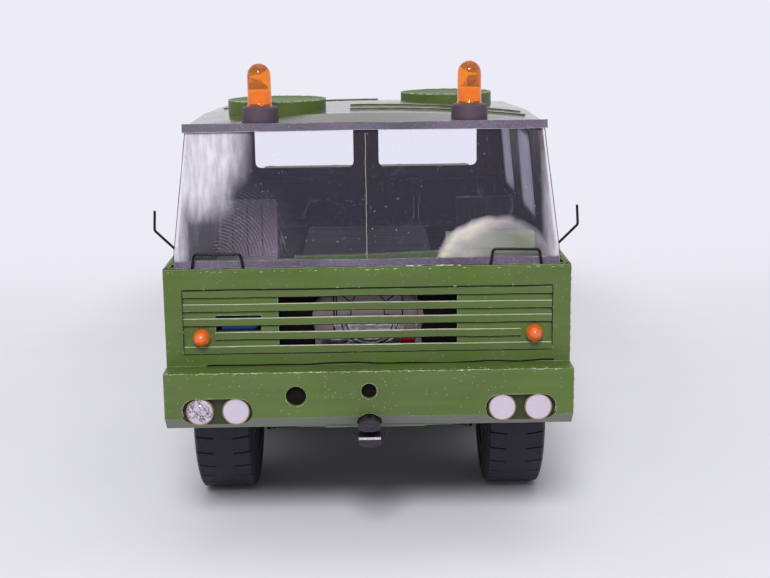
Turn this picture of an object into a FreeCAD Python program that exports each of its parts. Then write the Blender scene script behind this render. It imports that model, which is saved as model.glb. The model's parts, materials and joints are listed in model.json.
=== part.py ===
# A 1:32 card model of an eight-wheeled forward-control army truck with an open cargo bed.
# Millimetres. X runs across the truck (+X is its left side), +Z is up, and the front faces -Y.
# Lengths along the truck are distances behind the bumper's face, turned into Y by behind().
import FreeCAD
import Part
import math
import os

# Overall: widths are measured in from the body's side, and heights from the deck above the tyres
BODY_WIDTH = 78.0
BODY_LENGTH = 275.0
TYRE_DIAMETER = 40.8
TYRE_HEADROOM = 1.8
UPPER_CAB_HEIGHT = 23.5
CARD = 1.0
THIN_CARD = 0.5
FILM = 0.3
FIT = 0.05
HALF_WIDTH = BODY_WIDTH / 2
DECK_Z = TYRE_DIAMETER + TYRE_HEADROOM

# Bumper
BUMPER_BOTTOM = DECK_Z - 17.5
BUMPER_TOP = BUMPER_BOTTOM + 11.4
BUMPER_RETURN = 17.0
CHAMFER = 2.5
LAMP_SLOT_LENGTH = 13.6
LAMP_SLOT_HEIGHT = 5.4
LAMP_SLOT_X = HALF_WIDTH - 10.0
LAMP_Z = BUMPER_BOTTOM + 3.7
LAMP_DIAMETER = 5.3
LAMP_SPACING = 6.9
LAMP_THICKNESS = 0.7
LAMP_INSET = 0.3
SIDE_HOLE_X = 15.1 - LAMP_SLOT_X
SIDE_HOLE_Z = BUMPER_BOTTOM + 6.7
SIDE_HOLE_DIAMETER = 3.9
MIDDLE_HOLE_Z = BUMPER_BOTTOM + 7.5
MIDDLE_HOLE_DIAMETER = 3.0
NOTCH_WIDTH = 4.9
NOTCH_HEIGHT = 3.1

# Chassis
RAIL_INNER = 11.0
RAIL_WIDTH = 4.0
RAIL_BOTTOM = DECK_Z - 15.0
RAIL_TOP = RAIL_BOTTOM + 7.8
RAIL_WALL = 0.9
RAIL_OUTER = RAIL_INNER + RAIL_WIDTH
TAIL_HALF_WIDTH = HALF_WIDTH - 5.0
CROSSMEMBER_WIDTH = 3.0
CROSSMEMBER_DROP = 1.5
CROSSMEMBER_MARGIN = 1.0

# Tow jaws
JAW_WIDTH = 4.2
JAW_REACH = 3.4
JAW_BOTTOM = BUMPER_BOTTOM - 2.5
JAW_RISE = 3.15
JAW_LIP = 1.8
JAW_MOUTH = 1.2
JAW_BORE = 1.2
REAR_JAW_BOTTOM = RAIL_BOTTOM + 1.3
BRACE_DEPTH = 3.0
BRACE_TOP = BUMPER_BOTTOM + 7.9
BRACE_EDGE_BOTTOM = BUMPER_BOTTOM + 0.5
BRACE_MIDDLE_BOTTOM = BUMPER_BOTTOM - 0.8
BRACE_CORNER = (4.0, 2.0)

# Cab front and grille
PANEL_SETBACK = 5.5
PANEL_TOP = BUMPER_TOP + 19.1
GRILLE_HALF_WIDTH = HALF_WIDTH - 3.5
GRILLE_TOP = PANEL_TOP - 4.2
SLAT_PITCH = 2.76
SLAT_HEIGHT = 1.4
SLAT_COUNT = 5
SLAT_DEPTH = 0.6
SHORT_SLAT = 3
SHORT_SLAT_HALF = GRILLE_HALF_WIDTH - 6.1
RECESS_DEPTH = 1.6
BACKING_LAP = 2.0
OPENING_SHARE = 0.4845
OPENING_HALF_WIDTH = OPENING_SHARE * GRILLE_HALF_WIDTH
RESERVOIR_X = (6.2 - GRILLE_HALF_WIDTH, -OPENING_HALF_WIDTH - 3.3)
RESERVOIR_Z = (GRILLE_TOP - 8.2, GRILLE_TOP - 5.0)
INDICATOR_X = GRILLE_HALF_WIDTH - 3.5
INDICATOR_Z = GRILLE_TOP - 9.1
INDICATOR_DIAMETER = 3.4
INDICATOR_REACH = 2.6

# Cab walls
CAB_REAR = 98.0
BELT_Z = PANEL_TOP + 2.2
BELT_HALF_WIDTH = HALF_WIDTH - 2.6
EAVES_Z = BELT_Z + UPPER_CAB_HEIGHT
EAVES_HALF_WIDTH = HALF_WIDTH - 4.8
SCREEN_FOOT = 7.0
SCREEN_RAKE = 6.4
SCREEN_WRAP = 1.6
STRIP_HEIGHT = 1.35
STRIP_DEPTH = 0.8
STRIP_LAP = 0.2
ARCH_CLEARANCE = 2.6
ARCH_DROP = 0.4
ARCH_SLOPE = 4.0
SIDE_WINDOW_SHARES = (0.12, 0.843)
FRONT_WINDOW = (30.0, 52.0)
REAR_WINDOW = (71.0, 90.0)
WINDOW_CORNER_SHARE = 0.1
WINDOW_LAP = 1.0
BACK_WINDOW_SHARES = (0.264, 0.817)
BACK_WINDOW_INNER = 3.2
BACK_WINDOW_OUTER = EAVES_HALF_WIDTH - 6.0
DOOR_GROOVE_WIDTH = 0.5
DOOR_GROOVE_DEPTH = 0.3
FRONT_DOOR = (19.0, 56.0)
REAR_DOOR = (60.0, 93.0)

# Roof
ROOF_LIP_CROWN = 0.5
ROOF_CREASE_CROWN = 1.9
ROOF_CROWN = 2.3
ROOF_REAR_CROWN = 0.8
ROOF_REAR_DROP = 1.8
ROOF_CREASE = 20.0
ROOF_LEVEL_END = 48.0
ROOF_OVERHANG = 0.6
ROOF_EDGE = 0.5
ROOF_RECESS = 0.2
HATCH_DIAMETER = 20.0
HATCH_HEIGHT = 2.4
HATCH_X = EAVES_HALF_WIDTH - 16.2
FRONT_HATCH = 33.0
REAR_HATCH = 56.0
RIB_HEIGHT = 0.4
RIB_WIDTH = 0.9
RIB_INNER_X = -3.0
RIB_OUTER_X = EAVES_HALF_WIDTH - 1.7
FRONT_RIBS = (27.5, 36.0)
REAR_RIBS = (66.0, 78.0)
BEACON_X = EAVES_HALF_WIDTH - 13.8
BEACON_SETBACK = 17.5
BEACON_DIAMETER = 4.9
BEACON_HEIGHT = 8.2
BEACON_SINK = 0.3
BEACON_SEAT = 0.5
BEACON_FIT = 0.05
COLLAR_DIAMETER = 7.2
COLLAR_HEIGHT = 2.1

# Handles and mirror arms
WIRE = 0.6
HANDLE_OUTER_X = HALF_WIDTH - 5.6
HANDLE_INNER_X = HANDLE_OUTER_X - 9.8
HANDLE_HEIGHT = 2.9
HANDLE_BEND = 0.9
MIRROR_REACH = 4.3
MIRROR_BEND = 1.5
MIRROR_ROOT_RISE = 0.9
MIRROR_SETBACK = 1.4
MIRROR_ELBOW_RISE = 3.8
MIRROR_TIP_RISE = 7.6
MIRROR_LEAN = 0.2
MIRROR_ROOT_GAP = 0.25

# Inside the cab
FLOOR_TOP = DECK_Z + 1.4
FLOOR_GAP = 0.4
DASH_GAP = 0.1
DASH_DEPTH = 9.0
TUNNEL_HALF_WIDTH = 12.5
TUNNEL_TOP = FLOOR_TOP + 9.5
CLUSTER_WIDTH = 17.3
CLUSTER_X = HALF_WIDTH - 14.9
CLUSTER_TOP = PANEL_TOP + 5.0
CLUSTER_DEPTH = 3.0
STEERING_DIAMETER = 13.0
STEERING_RIM = 1.1
STEERING_COLUMN = 1.6
STEERING_LENGTH = 12.0
STEERING_HUB = 2.6
STEERING_SPOKE = (0.9, 0.5)
STEERING_RAKE = 40.0
STEERING_AHEAD = 5.0
STEERING_RISE = 2.2
SEAT_INNER_X = TUNNEL_HALF_WIDTH + CARD + 6.0
SEAT_OUTER_X = HALF_WIDTH - 6.5
SEAT_DEPTH = 12.0
SEAT_TOP = FLOOR_TOP + 7.0
SEAT_BACK_TOP = FLOOR_TOP + 19.2
SEAT_BACK_THICKNESS = 2.4
FRONT_SEAT = 32.0
BENCH_DEPTH = 12.0
BENCH_HALF_WIDTH = HALF_WIDTH - 6.0

# Engine, which stands above the first axle's housing
HOUSING_DIAMETER = 13.0
ENGINE_HEADROOM = 1.1
ENGINE_HALF_WIDTH = 10.4
ENGINE_FRONT = 10.5
ENGINE_LENGTH = 50.0
TUNNEL_END = ENGINE_FRONT + ENGINE_LENGTH + 5.5
ENGINE_BOTTOM = TYRE_DIAMETER / 2 + HOUSING_DIAMETER / 2 + ENGINE_HEADROOM
ENGINE_TOP = TUNNEL_TOP - 3.0
ENGINE_CHEEK_RADIUS = 6.0
DISC_DIAMETER = 7.8
DISC_Z = ENGINE_TOP - 7.3
DISC_THICKNESS = 1.2
DISC_BOSS = 2.0
RESERVOIR_DIAMETER = 3.0

# Wheels and axles
TYRE_WIDTH = 12.0
WHEEL_X = HALF_WIDTH - 8.2
RIM_DIAMETER = 18.0
TREAD_SHOULDER = 1.3
SIDEWALL_INSET = 0.8
RIM_WALL = 0.8
DISC_PLATE = 1.0
DISC_SETBACK = 3.2
HUB_DIAMETER = 6.0
HUB_INNER = 7.4
HUB_PROUD = 1.4
HAND_HOLES = 5
HAND_HOLE_DIAMETER = 2.4
HAND_HOLE_CIRCLE = 12.0
STUB_DIAMETER = 3.0
STUB_END = WHEEL_X + 2.7
AXLE_COUNT = 4
FIRST_AXLE = 43.0
FRONT_SPACING = TYRE_DIAMETER + 10.8
REAR_SPACING = TYRE_DIAMETER + 4.5
MIDDLE_SHARE = 0.509
MIDDLE_SPACING = MIDDLE_SHARE * (BODY_LENGTH - FIRST_AXLE - FRONT_SPACING - REAR_SPACING)
AXLE_SPACINGS = (FRONT_SPACING, MIDDLE_SPACING, REAR_SPACING)
BACKBONE_DIAMETER = 8.0
BACKBONE_FRONT = 16.0
BACKBONE_REAR = BODY_LENGTH - 13.0
HOUSING_LENGTH = 14.0
HALF_AXLE_DIAMETER = 4.6
KNUCKLE_DIAMETER = 9.0
KNUCKLE_THICKNESS = 2.0
HUB_GAP = 0.3
FIRST_CROSSMEMBER = 30.0
LAST_CROSSMEMBER_SHARE = 0.472
FIRST_CAB_MOUNT = 24.0
CAB_MOUNT_WIDTH = 3.0
CAB_MOUNT_INSET = 1.6
LAST_CAB_MOUNT = CAB_REAR - 8.0

# Cargo bed
BED_FRONT = CAB_REAR + TYRE_DIAMETER + 4.2
BED_FLOOR = 1.4
HEADBOARD_HEIGHT = 13.4
BOARD = 1.2
BEARER_SHARES = (0.023, 0.154, 0.326, 0.497, 0.705, 0.947)
BEARER_WIDTH = 3.0
BEARER_END = 1.2
BEARER_MARGIN = 1.0
NARROW_BEARER = WHEEL_X - 8.8
POST_WIDTH = 2.2
POST_DEPTH = 0.9
POSTS = 7
HEADBOARD_POSTS = 4
FLAP_THICKNESS = 0.8
FLAP_GAP = 3.0
FLAP_BOTTOM = DECK_Z - 26.6
REAR_LAMPS = (TAIL_HALF_WIDTH - 10.0, TAIL_HALF_WIDTH - 5.0)
REAR_LAMP_DIAMETER = 3.4
REAR_LAMP_THICKNESS = 0.5

# Spare wheel, tank, tool box and stacks
SPARE_PLINTH = 2.0
SPARE_PEG = 9.0
CARRIER_REACH = 14.0
CARRIER_HALF_WIDTH = 4.0
CARRIER_BAR = 3.0
TANK_START_SHARE = 0.107
TANK_LENGTH_SHARE = 0.786
TANK_INNER = 21.0
TANK_OUTER = HALF_WIDTH - 1.5
TANK_TOP = RAIL_TOP - 0.9
TANK_BOTTOM = TANK_TOP - 15.5
TANK_CORNER = 2.5
TANK_BRACKET = 2.0
TANK_BRACKET_SHARE = 0.1
TOOL_BOX_CORNER = 0.5
AIR_CLEANER_X = HALF_WIDTH - 10.0
AIR_CLEANER_DISTANCE = CAB_REAR + 8.0
AIR_CLEANER_DIAMETER = 10.0
AIR_CLEANER_BOTTOM = DECK_Z + 0.4
AIR_CLEANER_TOP = AIR_CLEANER_BOTTOM + 17.0
AIR_CLEANER_CAP = 1.6
SILENCER_DIAMETER = 7.0
STACK_DIAMETER = 2.6
STACK_LENGTH = 5.0
BRACKET = 2.0
BRACKET_GAP = 1.0

# Sides given to the pieces that are rolled or cut from card
TYRE_SIDES = 28
DISC_SIDES = 12
ROUND_SIDES = 16
LID_SIDES = 24
HOLE_SIDES = 5
ROD_SIDES = 12
AXLE_SIDES = 10
THIN_SIDES = 8
WIRE_SIDES = 6
CORNER_STEPS = 3
SLOT_STEPS = 4
ROOF_STEPS = 10


def wheel_radius():
    return TYRE_DIAMETER / 2


def behind(distance):
    """Y of a point that lies this far behind the bumper's face."""
    return distance - BODY_LENGTH / 2


def box(x_range, d_range, z_range):
    size = (x_range[1] - x_range[0], d_range[1] - d_range[0], z_range[1] - z_range[0])
    corner = FreeCAD.Vector(x_range[0], behind(d_range[0]), z_range[0])
    return Part.makeBox(size[0], size[1], size[2], corner)


def mirror_x(shape):
    return shape.mirror(FreeCAD.Vector(0, 0, 0), FreeCAD.Vector(1, 0, 0))


def both_sides(shape):
    return [shape, mirror_x(shape)]


def face_of(points):
    return Part.Face(Part.makePolygon(points + [points[0]]))


def prism_across(points, x_low, x_high):
    """Solid with a (distance, z) outline, running across the truck."""
    outline = [FreeCAD.Vector(x_low, behind(d), z) for d, z in points]
    return face_of(outline).extrude(FreeCAD.Vector(x_high - x_low, 0, 0))


def prism_along(points, d_low, d_high):
    """Solid with an (x, z) outline, running along the truck."""
    outline = [FreeCAD.Vector(x, behind(d_low), z) for x, z in points]
    return face_of(outline).extrude(FreeCAD.Vector(0, d_high - d_low, 0))


def rod_along(d_low, d_high, x, z, diameter):
    start = FreeCAD.Vector(x, behind(d_low), z)
    return Part.makeCylinder(diameter / 2, d_high - d_low, start, FreeCAD.Vector(0, 1, 0))


def rod_up(z_low, z_high, x, distance, diameter):
    start = FreeCAD.Vector(x, behind(distance), z_low)
    return Part.makeCylinder(diameter / 2, z_high - z_low, start, FreeCAD.Vector(0, 0, 1))


def corner_radius(flat_radius, sides):
    """Corner radius of the regular polygon whose sides lie at flat_radius."""
    return flat_radius / math.cos(math.pi / sides)


def closed_solid(faces):
    shell = Part.makeShell(faces)
    shell.sewShape()
    solid = Part.makeSolid(shell)
    if solid.Volume < 0:
        solid.reverse()
    return solid.removeSplitter()


def turned(profile, sides, centre, along, flat_way):
    """Solid with flat faces about an axis, from a closed list of (offset, corner radius) points.

    flat_way is square to the axis: the middle of one flat faces that way.
    """
    cross_way = along.cross(flat_way)
    rings = []
    for offset, radius in profile:
        base = centre + along * offset
        ring = []
        for index in range(sides):
            angle = 2 * math.pi * (index + 0.5) / sides
            ring.append(base + flat_way * (radius * math.cos(angle)) + cross_way * (radius * math.sin(angle)))
        rings.append(ring)
    faces = []
    for step in range(len(profile)):
        following = (step + 1) % len(profile)
        here, there = rings[step], rings[following]
        here_radius, there_radius = profile[step][1], profile[following][1]
        for index in range(sides):
            beside = (index + 1) % sides
            corners = [here[index], there[index]]
            if there_radius > 0:
                corners.append(there[beside])
            if here_radius > 0:
                corners.append(here[beside])
            if len(corners) > 2:
                faces.append(face_of(corners))
    return closed_solid(faces)


def peg_profile(low, high, radius):
    return [(low, 0), (low, radius), (high, radius), (high, 0)]


def peg_across(x_low, x_high, distance, z, diameter, sides):
    centre = FreeCAD.Vector(0, behind(distance), z)
    profile = peg_profile(x_low, x_high, diameter / 2)
    return turned(profile, sides, centre, FreeCAD.Vector(1, 0, 0), FreeCAD.Vector(0, 0, 1))


def peg_along(d_low, d_high, x, z, diameter, sides):
    centre = FreeCAD.Vector(x, behind(0), z)
    profile = peg_profile(d_low, d_high, diameter / 2)
    return turned(profile, sides, centre, FreeCAD.Vector(0, 1, 0), FreeCAD.Vector(0, 0, 1))


def peg_up(z_low, z_high, x, distance, diameter, sides):
    centre = FreeCAD.Vector(x, behind(distance), 0)
    profile = peg_profile(z_low, z_high, diameter / 2)
    return turned(profile, sides, centre, FreeCAD.Vector(0, 0, 1), FreeCAD.Vector(1, 0, 0))


def rounded_outline(a_range, b_range, radius, steps):
    """Corner points of a rectangle whose corners are rounded in a few straight steps."""
    points = []
    a_low, a_high = a_range[0] + radius, a_range[1] - radius
    b_low, b_high = b_range[0] + radius, b_range[1] - radius
    corners = [(a_high, b_high), (a_low, b_high), (a_low, b_low), (a_high, b_low)]
    for quarter, (a, b) in enumerate(corners):
        for step in range(steps + 1):
            angle = math.pi / 2 * (quarter + step / steps)
            points.append((a + radius * math.cos(angle), b + radius * math.sin(angle)))
    return points


def softened(points, bend):
    """Points with each inner corner replaced by three points on its bend."""
    path = [points[0]]
    for index in range(1, len(points) - 1):
        corner = points[index]
        back = (points[index - 1] - corner).normalize()
        ahead = (points[index + 1] - corner).normalize()
        half_turn = back.getAngle(ahead) / 2
        reach = bend / math.tan(half_turn)
        middle_way = (back + ahead).normalize()
        path.append(corner + back * reach)
        path.append(corner + middle_way * (bend / math.sin(half_turn) - bend))
        path.append(corner + ahead * reach)
    path.append(points[-1])
    return path


def bent_wire(points, distance, diameter, bend):
    """Six-sided wire through (x, z) points that all lie at one distance."""
    path = softened([FreeCAD.Vector(x, behind(distance), z) for x, z in points], bend)
    side_way = FreeCAD.Vector(0, 1, 0)
    rings = []
    for index, point in enumerate(path):
        incoming = (path[max(index, 1)] - path[max(index, 1) - 1]).normalize()
        last = len(path) - 2
        outgoing = (path[min(index, last) + 1] - path[min(index, last)]).normalize()
        bisector = (incoming + outgoing).normalize()
        mitre = bisector.cross(side_way) * (1 / bisector.dot(incoming))
        ring = []
        for step in range(WIRE_SIDES):
            angle = 2 * math.pi * step / WIRE_SIDES
            offset = side_way * math.cos(angle) + mitre * math.sin(angle)
            ring.append(point + offset * (diameter / 2))
        rings.append(ring)
    faces = [face_of(rings[0]), face_of(rings[-1])]
    for here, there in zip(rings, rings[1:]):
        for step in range(WIRE_SIDES):
            beside = (step + 1) % WIRE_SIDES
            faces.append(face_of([here[step], there[step], there[beside], here[beside]]))
    return closed_solid(faces)


def lamp_slot(side, d_low, d_high):
    half = LAMP_SLOT_LENGTH / 2
    radius = LAMP_SLOT_HEIGHT / 2
    x = side * LAMP_SLOT_X
    z_range = (LAMP_Z - radius, LAMP_Z + radius)
    outline = rounded_outline((x - half, x + half), z_range, radius, SLOT_STEPS)
    kept = [point for index, point in enumerate(outline) if math.dist(point, outline[index - 1]) > FIT]
    return prism_along(kept, d_low, d_high)


def bumper():
    half = HALF_WIDTH
    bend = CARD * math.tan(math.radians(22.5))
    outer = [(0, BUMPER_TOP), (0, BUMPER_BOTTOM + CHAMFER), (CHAMFER, BUMPER_BOTTOM)]
    outer += [(BUMPER_RETURN, BUMPER_BOTTOM), (BUMPER_RETURN, BUMPER_TOP)]
    shell = prism_across(outer, -half, half)
    ledge = PANEL_SETBACK + CARD
    slope_top = BUMPER_BOTTOM + CHAMFER + bend
    inner = [(CARD, BUMPER_TOP - CARD), (CARD, slope_top)]
    inner += [(CARD + slope_top - BUMPER_BOTTOM + 1, BUMPER_BOTTOM - 1)]
    inner += [(BUMPER_RETURN + 1, BUMPER_BOTTOM - 1), (BUMPER_RETURN + 1, BUMPER_TOP + 1)]
    inner += [(ledge, BUMPER_TOP + 1), (ledge, BUMPER_TOP - CARD)]
    shell = shell.cut(prism_across(inner, CARD - half, half - CARD))
    tools = [lamp_slot(side, -1, CHAMFER + CARD) for side in (-1, 1)]
    tools.append(rod_along(-1, CARD + 1, SIDE_HOLE_X, SIDE_HOLE_Z, SIDE_HOLE_DIAMETER))
    tools.append(rod_along(-1, CARD + 1, 0, MIDDLE_HOLE_Z, MIDDLE_HOLE_DIAMETER))
    notch_z = BUMPER_BOTTOM + NOTCH_HEIGHT - NOTCH_WIDTH / 2
    tools.append(rod_along(-1, ledge, 0, notch_z, NOTCH_WIDTH))
    tools.append(box((-NOTCH_WIDTH / 2, NOTCH_WIDTH / 2), (-1, ledge), (BUMPER_BOTTOM - 1, notch_z)))
    return [shell.cut(tools)]


def headlamp_recesses():
    return [lamp_slot(side, CARD - LAMP_INSET + LAMP_THICKNESS, CHAMFER + CARD) for side in (-1, 1)]


def headlamps():
    front = CARD - LAMP_INSET
    lamps = []
    for side in (-1, 1):
        for way in (-1, 1):
            x = side * LAMP_SLOT_X + way * LAMP_SPACING / 2
            lamps.append(peg_along(front, front + LAMP_THICKNESS, x, LAMP_Z, LAMP_DIAMETER, ROD_SIDES))
    return lamps


def tow_brace():
    """V-shaped plate behind the bumper that carries the front jaw and meets the chassis rails."""
    cut_x, cut_z = BRACE_CORNER
    right = [(0, BRACE_MIDDLE_BOTTOM), (RAIL_OUTER - cut_x, BRACE_EDGE_BOTTOM)]
    right += [(RAIL_OUTER, BRACE_EDGE_BOTTOM + cut_z), (RAIL_OUTER, BRACE_TOP)]
    left = [(-x, z) for x, z in reversed(right[1:])]
    front = CHAMFER + CARD + 1
    return [prism_along(left + right, front, front + BRACE_DEPTH)]


def tow_jaw(sign, d_root, d_tip, bottom):
    """Round upper jaw over a flat lower lip, with a mouth between them and a vertical bore."""
    half = JAW_WIDTH / 2
    low, high = sorted((d_root, d_tip))
    eye = d_tip - sign * half
    top = bottom + 2 * JAW_RISE
    flat_width = corner_radius(JAW_WIDTH, THIN_SIDES)
    upper = peg_along(low, high, 0, bottom + JAW_RISE, flat_width, THIN_SIDES)
    lower = box((-half, half), (low, high), (bottom, bottom + JAW_RISE))
    body = upper.fuse(lower).removeSplitter()
    nose = peg_up(bottom, top, 0, eye, flat_width, THIN_SIDES)
    shank = box((-half, half), tuple(sorted((d_root, eye))), (bottom, top))
    body = body.common(nose.fuse(shank))
    mouth_end = eye - sign * JAW_BORE
    mouth_low, mouth_high = sorted((mouth_end, d_tip + sign))
    mouth_z = (bottom + JAW_LIP, bottom + JAW_LIP + JAW_MOUTH)
    mouth = box((-half - 1, half + 1), (mouth_low, mouth_high), mouth_z)
    bore = rod_up(bottom - 1, top + 1, 0, eye, JAW_BORE)
    return [body.cut([mouth, bore])]


def cab_front_panel():
    half = HALF_WIDTH
    panel = box((-half, half), (PANEL_SETBACK, PANEL_SETBACK + CARD), (BUMPER_TOP, PANEL_TOP))
    bottom = grille_bottom()
    aperture = box((-GRILLE_HALF_WIDTH, GRILLE_HALF_WIDTH), (PANEL_SETBACK - 1, PANEL_SETBACK + CARD + 1),
                   (bottom, GRILLE_TOP))
    return [panel.cut(aperture)]


def grille_bottom():
    return GRILLE_TOP - (SLAT_COUNT - 1) * SLAT_PITCH - SLAT_HEIGHT


def grille_slats():
    slats = []
    for index in range(SLAT_COUNT):
        top = GRILLE_TOP - index * SLAT_PITCH
        half = SHORT_SLAT_HALF if index == SHORT_SLAT else GRILLE_HALF_WIDTH
        z_range = (top - SLAT_HEIGHT, top)
        slats.append(box((-half, half), (PANEL_SETBACK, PANEL_SETBACK + SLAT_DEPTH), z_range))
    return slats


def grille_backing():
    """Recessed plate each side of the open centre, with an edge that reaches the slats."""
    plates = []
    front = PANEL_SETBACK + CARD
    back = PANEL_SETBACK + SLAT_DEPTH + RECESS_DEPTH
    bottom = grille_bottom()
    edge_x = OPENING_HALF_WIDTH + THIN_CARD
    for side in (-1, 1):
        x_range = tuple(sorted((side * OPENING_HALF_WIDTH, side * (GRILLE_HALF_WIDTH + BACKING_LAP))))
        plate = box(x_range, (front, back), (bottom - BACKING_LAP, GRILLE_TOP + CARD))
        pocket_x = tuple(sorted((side * edge_x, side * GRILLE_HALF_WIDTH)))
        plate = plate.cut(box(pocket_x, (front - 1, back - THIN_CARD), (bottom, GRILLE_TOP)))
        lip_x = tuple(sorted((side * OPENING_HALF_WIDTH, side * edge_x)))
        lip = box(lip_x, (PANEL_SETBACK + SLAT_DEPTH, front), (bottom, GRILLE_TOP))
        plates.append(plate.fuse(lip).removeSplitter())
    plates[0] = plates[0].cut(box(RESERVOIR_X, (front - 1, back + 1), RESERVOIR_Z))
    return plates


def dome_profile(low, shoulder, radius):
    """Peg with a domed end, as (offset, corner radius) points."""
    points = [(low, 0), (low, radius)]
    for angle in (0, 35, 65):
        turn = math.radians(angle)
        points.append((shoulder + radius * math.sin(turn), radius * math.cos(turn)))
    return points + [(shoulder + radius, 0)]


def indicator_lamps():
    radius = INDICATOR_DIAMETER / 2
    root = PANEL_SETBACK + SLAT_DEPTH + RECESS_DEPTH - THIN_CARD
    shoulder = PANEL_SETBACK - INDICATOR_REACH + radius
    profile = dome_profile(-root, -shoulder, radius)
    lamps = []
    for side in (-1, 1):
        centre = FreeCAD.Vector(side * INDICATOR_X, behind(0), INDICATOR_Z)
        lamps.append(turned(profile, ROD_SIDES, centre, FreeCAD.Vector(0, -1, 0), FreeCAD.Vector(0, 0, 1)))
    return lamps


def reservoir():
    distance = PANEL_SETBACK + SLAT_DEPTH + RECESS_DEPTH + RESERVOIR_DIAMETER / 2
    z = sum(RESERVOIR_Z) / 2
    x_low, x_high = RESERVOIR_X
    return [peg_across(x_low + CARD, x_high - CARD, distance, z, RESERVOIR_DIAMETER, ROD_SIDES)]


def engine_block():
    bottom = ENGINE_BOTTOM
    half = ENGINE_HALF_WIDTH
    body = box((-half, half), (ENGINE_FRONT, ENGINE_FRONT + ENGINE_LENGTH), (bottom, ENGINE_TOP))
    along = FreeCAD.Vector(0, 1, 0)
    edges = []
    for edge in body.Edges:
        if abs(edge.tangentAt(edge.FirstParameter).dot(along)) > 0.99 and edge.CenterOfMass.z > bottom + 1:
            edges.append(edge)
    return [body.makeFillet(ENGINE_CHEEK_RADIUS, edges)]


def engine_disc():
    plate = peg_along(ENGINE_FRONT - DISC_THICKNESS, ENGINE_FRONT, 0, DISC_Z, DISC_DIAMETER, ROUND_SIDES)
    face = ENGINE_FRONT - DISC_THICKNESS
    boss = peg_along(ENGINE_FRONT - DISC_BOSS, face, 0, DISC_Z, DISC_DIAMETER / 2, ROUND_SIDES)
    return [plate.fuse(boss).removeSplitter()]


def screen_plane(z, offset):
    """Distance of the windscreen's front plane at a height, plus an offset."""
    share = (z - PANEL_TOP) / (EAVES_Z - PANEL_TOP)
    return SCREEN_FOOT + SCREEN_RAKE * share + offset


def screen_band(offset_low, offset_high, z_low, z_high):
    half = BODY_WIDTH
    points = [(screen_plane(z_low, offset_low), z_low), (screen_plane(z_low, offset_high), z_low)]
    points += [(screen_plane(z_high, offset_high), z_high), (screen_plane(z_high, offset_low), z_high)]
    return prism_across(points, -half, half)


def upper_wall_x(z, offset):
    share = (z - BELT_Z) / (EAVES_Z - BELT_Z)
    return BELT_HALF_WIDTH + (EAVES_HALF_WIDTH - BELT_HALF_WIDTH) * share + offset


def windscreen():
    glass_top = EAVES_Z - STRIP_LAP
    low = BELT_HALF_WIDTH - FILM
    deep = SCREEN_FOOT + SCREEN_RAKE + 2 * SCREEN_WRAP
    right = [(low, PANEL_TOP), (upper_wall_x(BELT_Z, FILM), BELT_Z)]
    right.append((upper_wall_x(glass_top, FILM), glass_top))
    left = [(-x, z) for x, z in reversed(right)]
    front = prism_along(right + left, 0, deep).common(screen_band(0, FILM, PANEL_TOP, glass_top))
    skin = [(upper_wall_x(BELT_Z, 0), BELT_Z), (upper_wall_x(BELT_Z, FILM), BELT_Z)]
    skin += [(upper_wall_x(glass_top, FILM), glass_top), (upper_wall_x(glass_top, 0), glass_top)]
    wrap = prism_along(skin, 0, deep).common(screen_band(0, SCREEN_WRAP, BELT_Z, glass_top))
    return [front.fuse(both_sides(wrap)).removeSplitter()]


def windscreen_strips():
    strips = []
    low_half = BELT_HALF_WIDTH + FILM + STRIP_LAP
    high_half = EAVES_HALF_WIDTH + CARD
    low_range = (PANEL_TOP, PANEL_TOP + STRIP_HEIGHT)
    high_range = (EAVES_Z - 2 * STRIP_LAP, EAVES_Z + STRIP_HEIGHT - STRIP_LAP)
    for half, (bottom, top) in ((low_half, low_range), (high_half, high_range)):
        outline = [(screen_plane(bottom, -STRIP_DEPTH), bottom), (screen_plane(bottom, 0), bottom)]
        outline += [(screen_plane(top, 0), top), (screen_plane(top, -STRIP_DEPTH), top)]
        strips.append(prism_across(outline, -half, half))
    return strips


def side_profile(side):
    """Wall section from the sill over the belt shoulder to the eaves, as (x, z)."""
    half = HALF_WIDTH
    outer = [(half, BUMPER_TOP), (half, PANEL_TOP), (BELT_HALF_WIDTH, BELT_Z), (EAVES_HALF_WIDTH, EAVES_Z)]
    inner = [(x - CARD, z) for x, z in reversed(outer)]
    return [(side * x, z) for x, z in outer + inner]


def axle_distance(index):
    return FIRST_AXLE + sum(AXLE_SPACINGS[:index])


def wheel_arch(index):
    """Arch that clears the tyre, cut through both cab sides."""
    distance = axle_distance(index)
    radius = wheel_radius() + ARCH_CLEARANCE
    crown = 2 * wheel_radius() + ARCH_CLEARANCE - ARCH_DROP
    start = BUMPER_TOP - 1
    half_foot = math.sqrt(radius ** 2 - (start - wheel_radius()) ** 2)
    points = [(distance - half_foot - 1, start), (distance - half_foot + ARCH_SLOPE, crown)]
    points += [(distance + half_foot - ARCH_SLOPE, crown), (distance + half_foot + 1, start)]
    return prism_across(points, -BODY_WIDTH, BODY_WIDTH)


def window_heights(shares):
    """Bottom and top of a window from shares of the height between the belt and the eaves."""
    return tuple(BELT_Z + share * (EAVES_Z - BELT_Z) for share in shares)


def window_outline(a_range, z_range):
    corner = WINDOW_CORNER_SHARE * (z_range[1] - z_range[0])
    return rounded_outline(a_range, z_range, corner, CORNER_STEPS)


def door_groove(d_range, side):
    """Shallow line round a door, cut into the wall's outer face below the belt."""
    x_range = tuple(sorted((side * (HALF_WIDTH - DOOR_GROOVE_DEPTH), side * (HALF_WIDTH + 1))))
    top = PANEL_TOP - CARD
    tools = [box(x_range, (edge, edge + DOOR_GROOVE_WIDTH), (BUMPER_TOP - 1, top)) for edge in d_range]
    across = (d_range[0], d_range[1] + DOOR_GROOVE_WIDTH)
    return tools + [box(x_range, across, (top, top + DOOR_GROOVE_WIDTH))]


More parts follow.
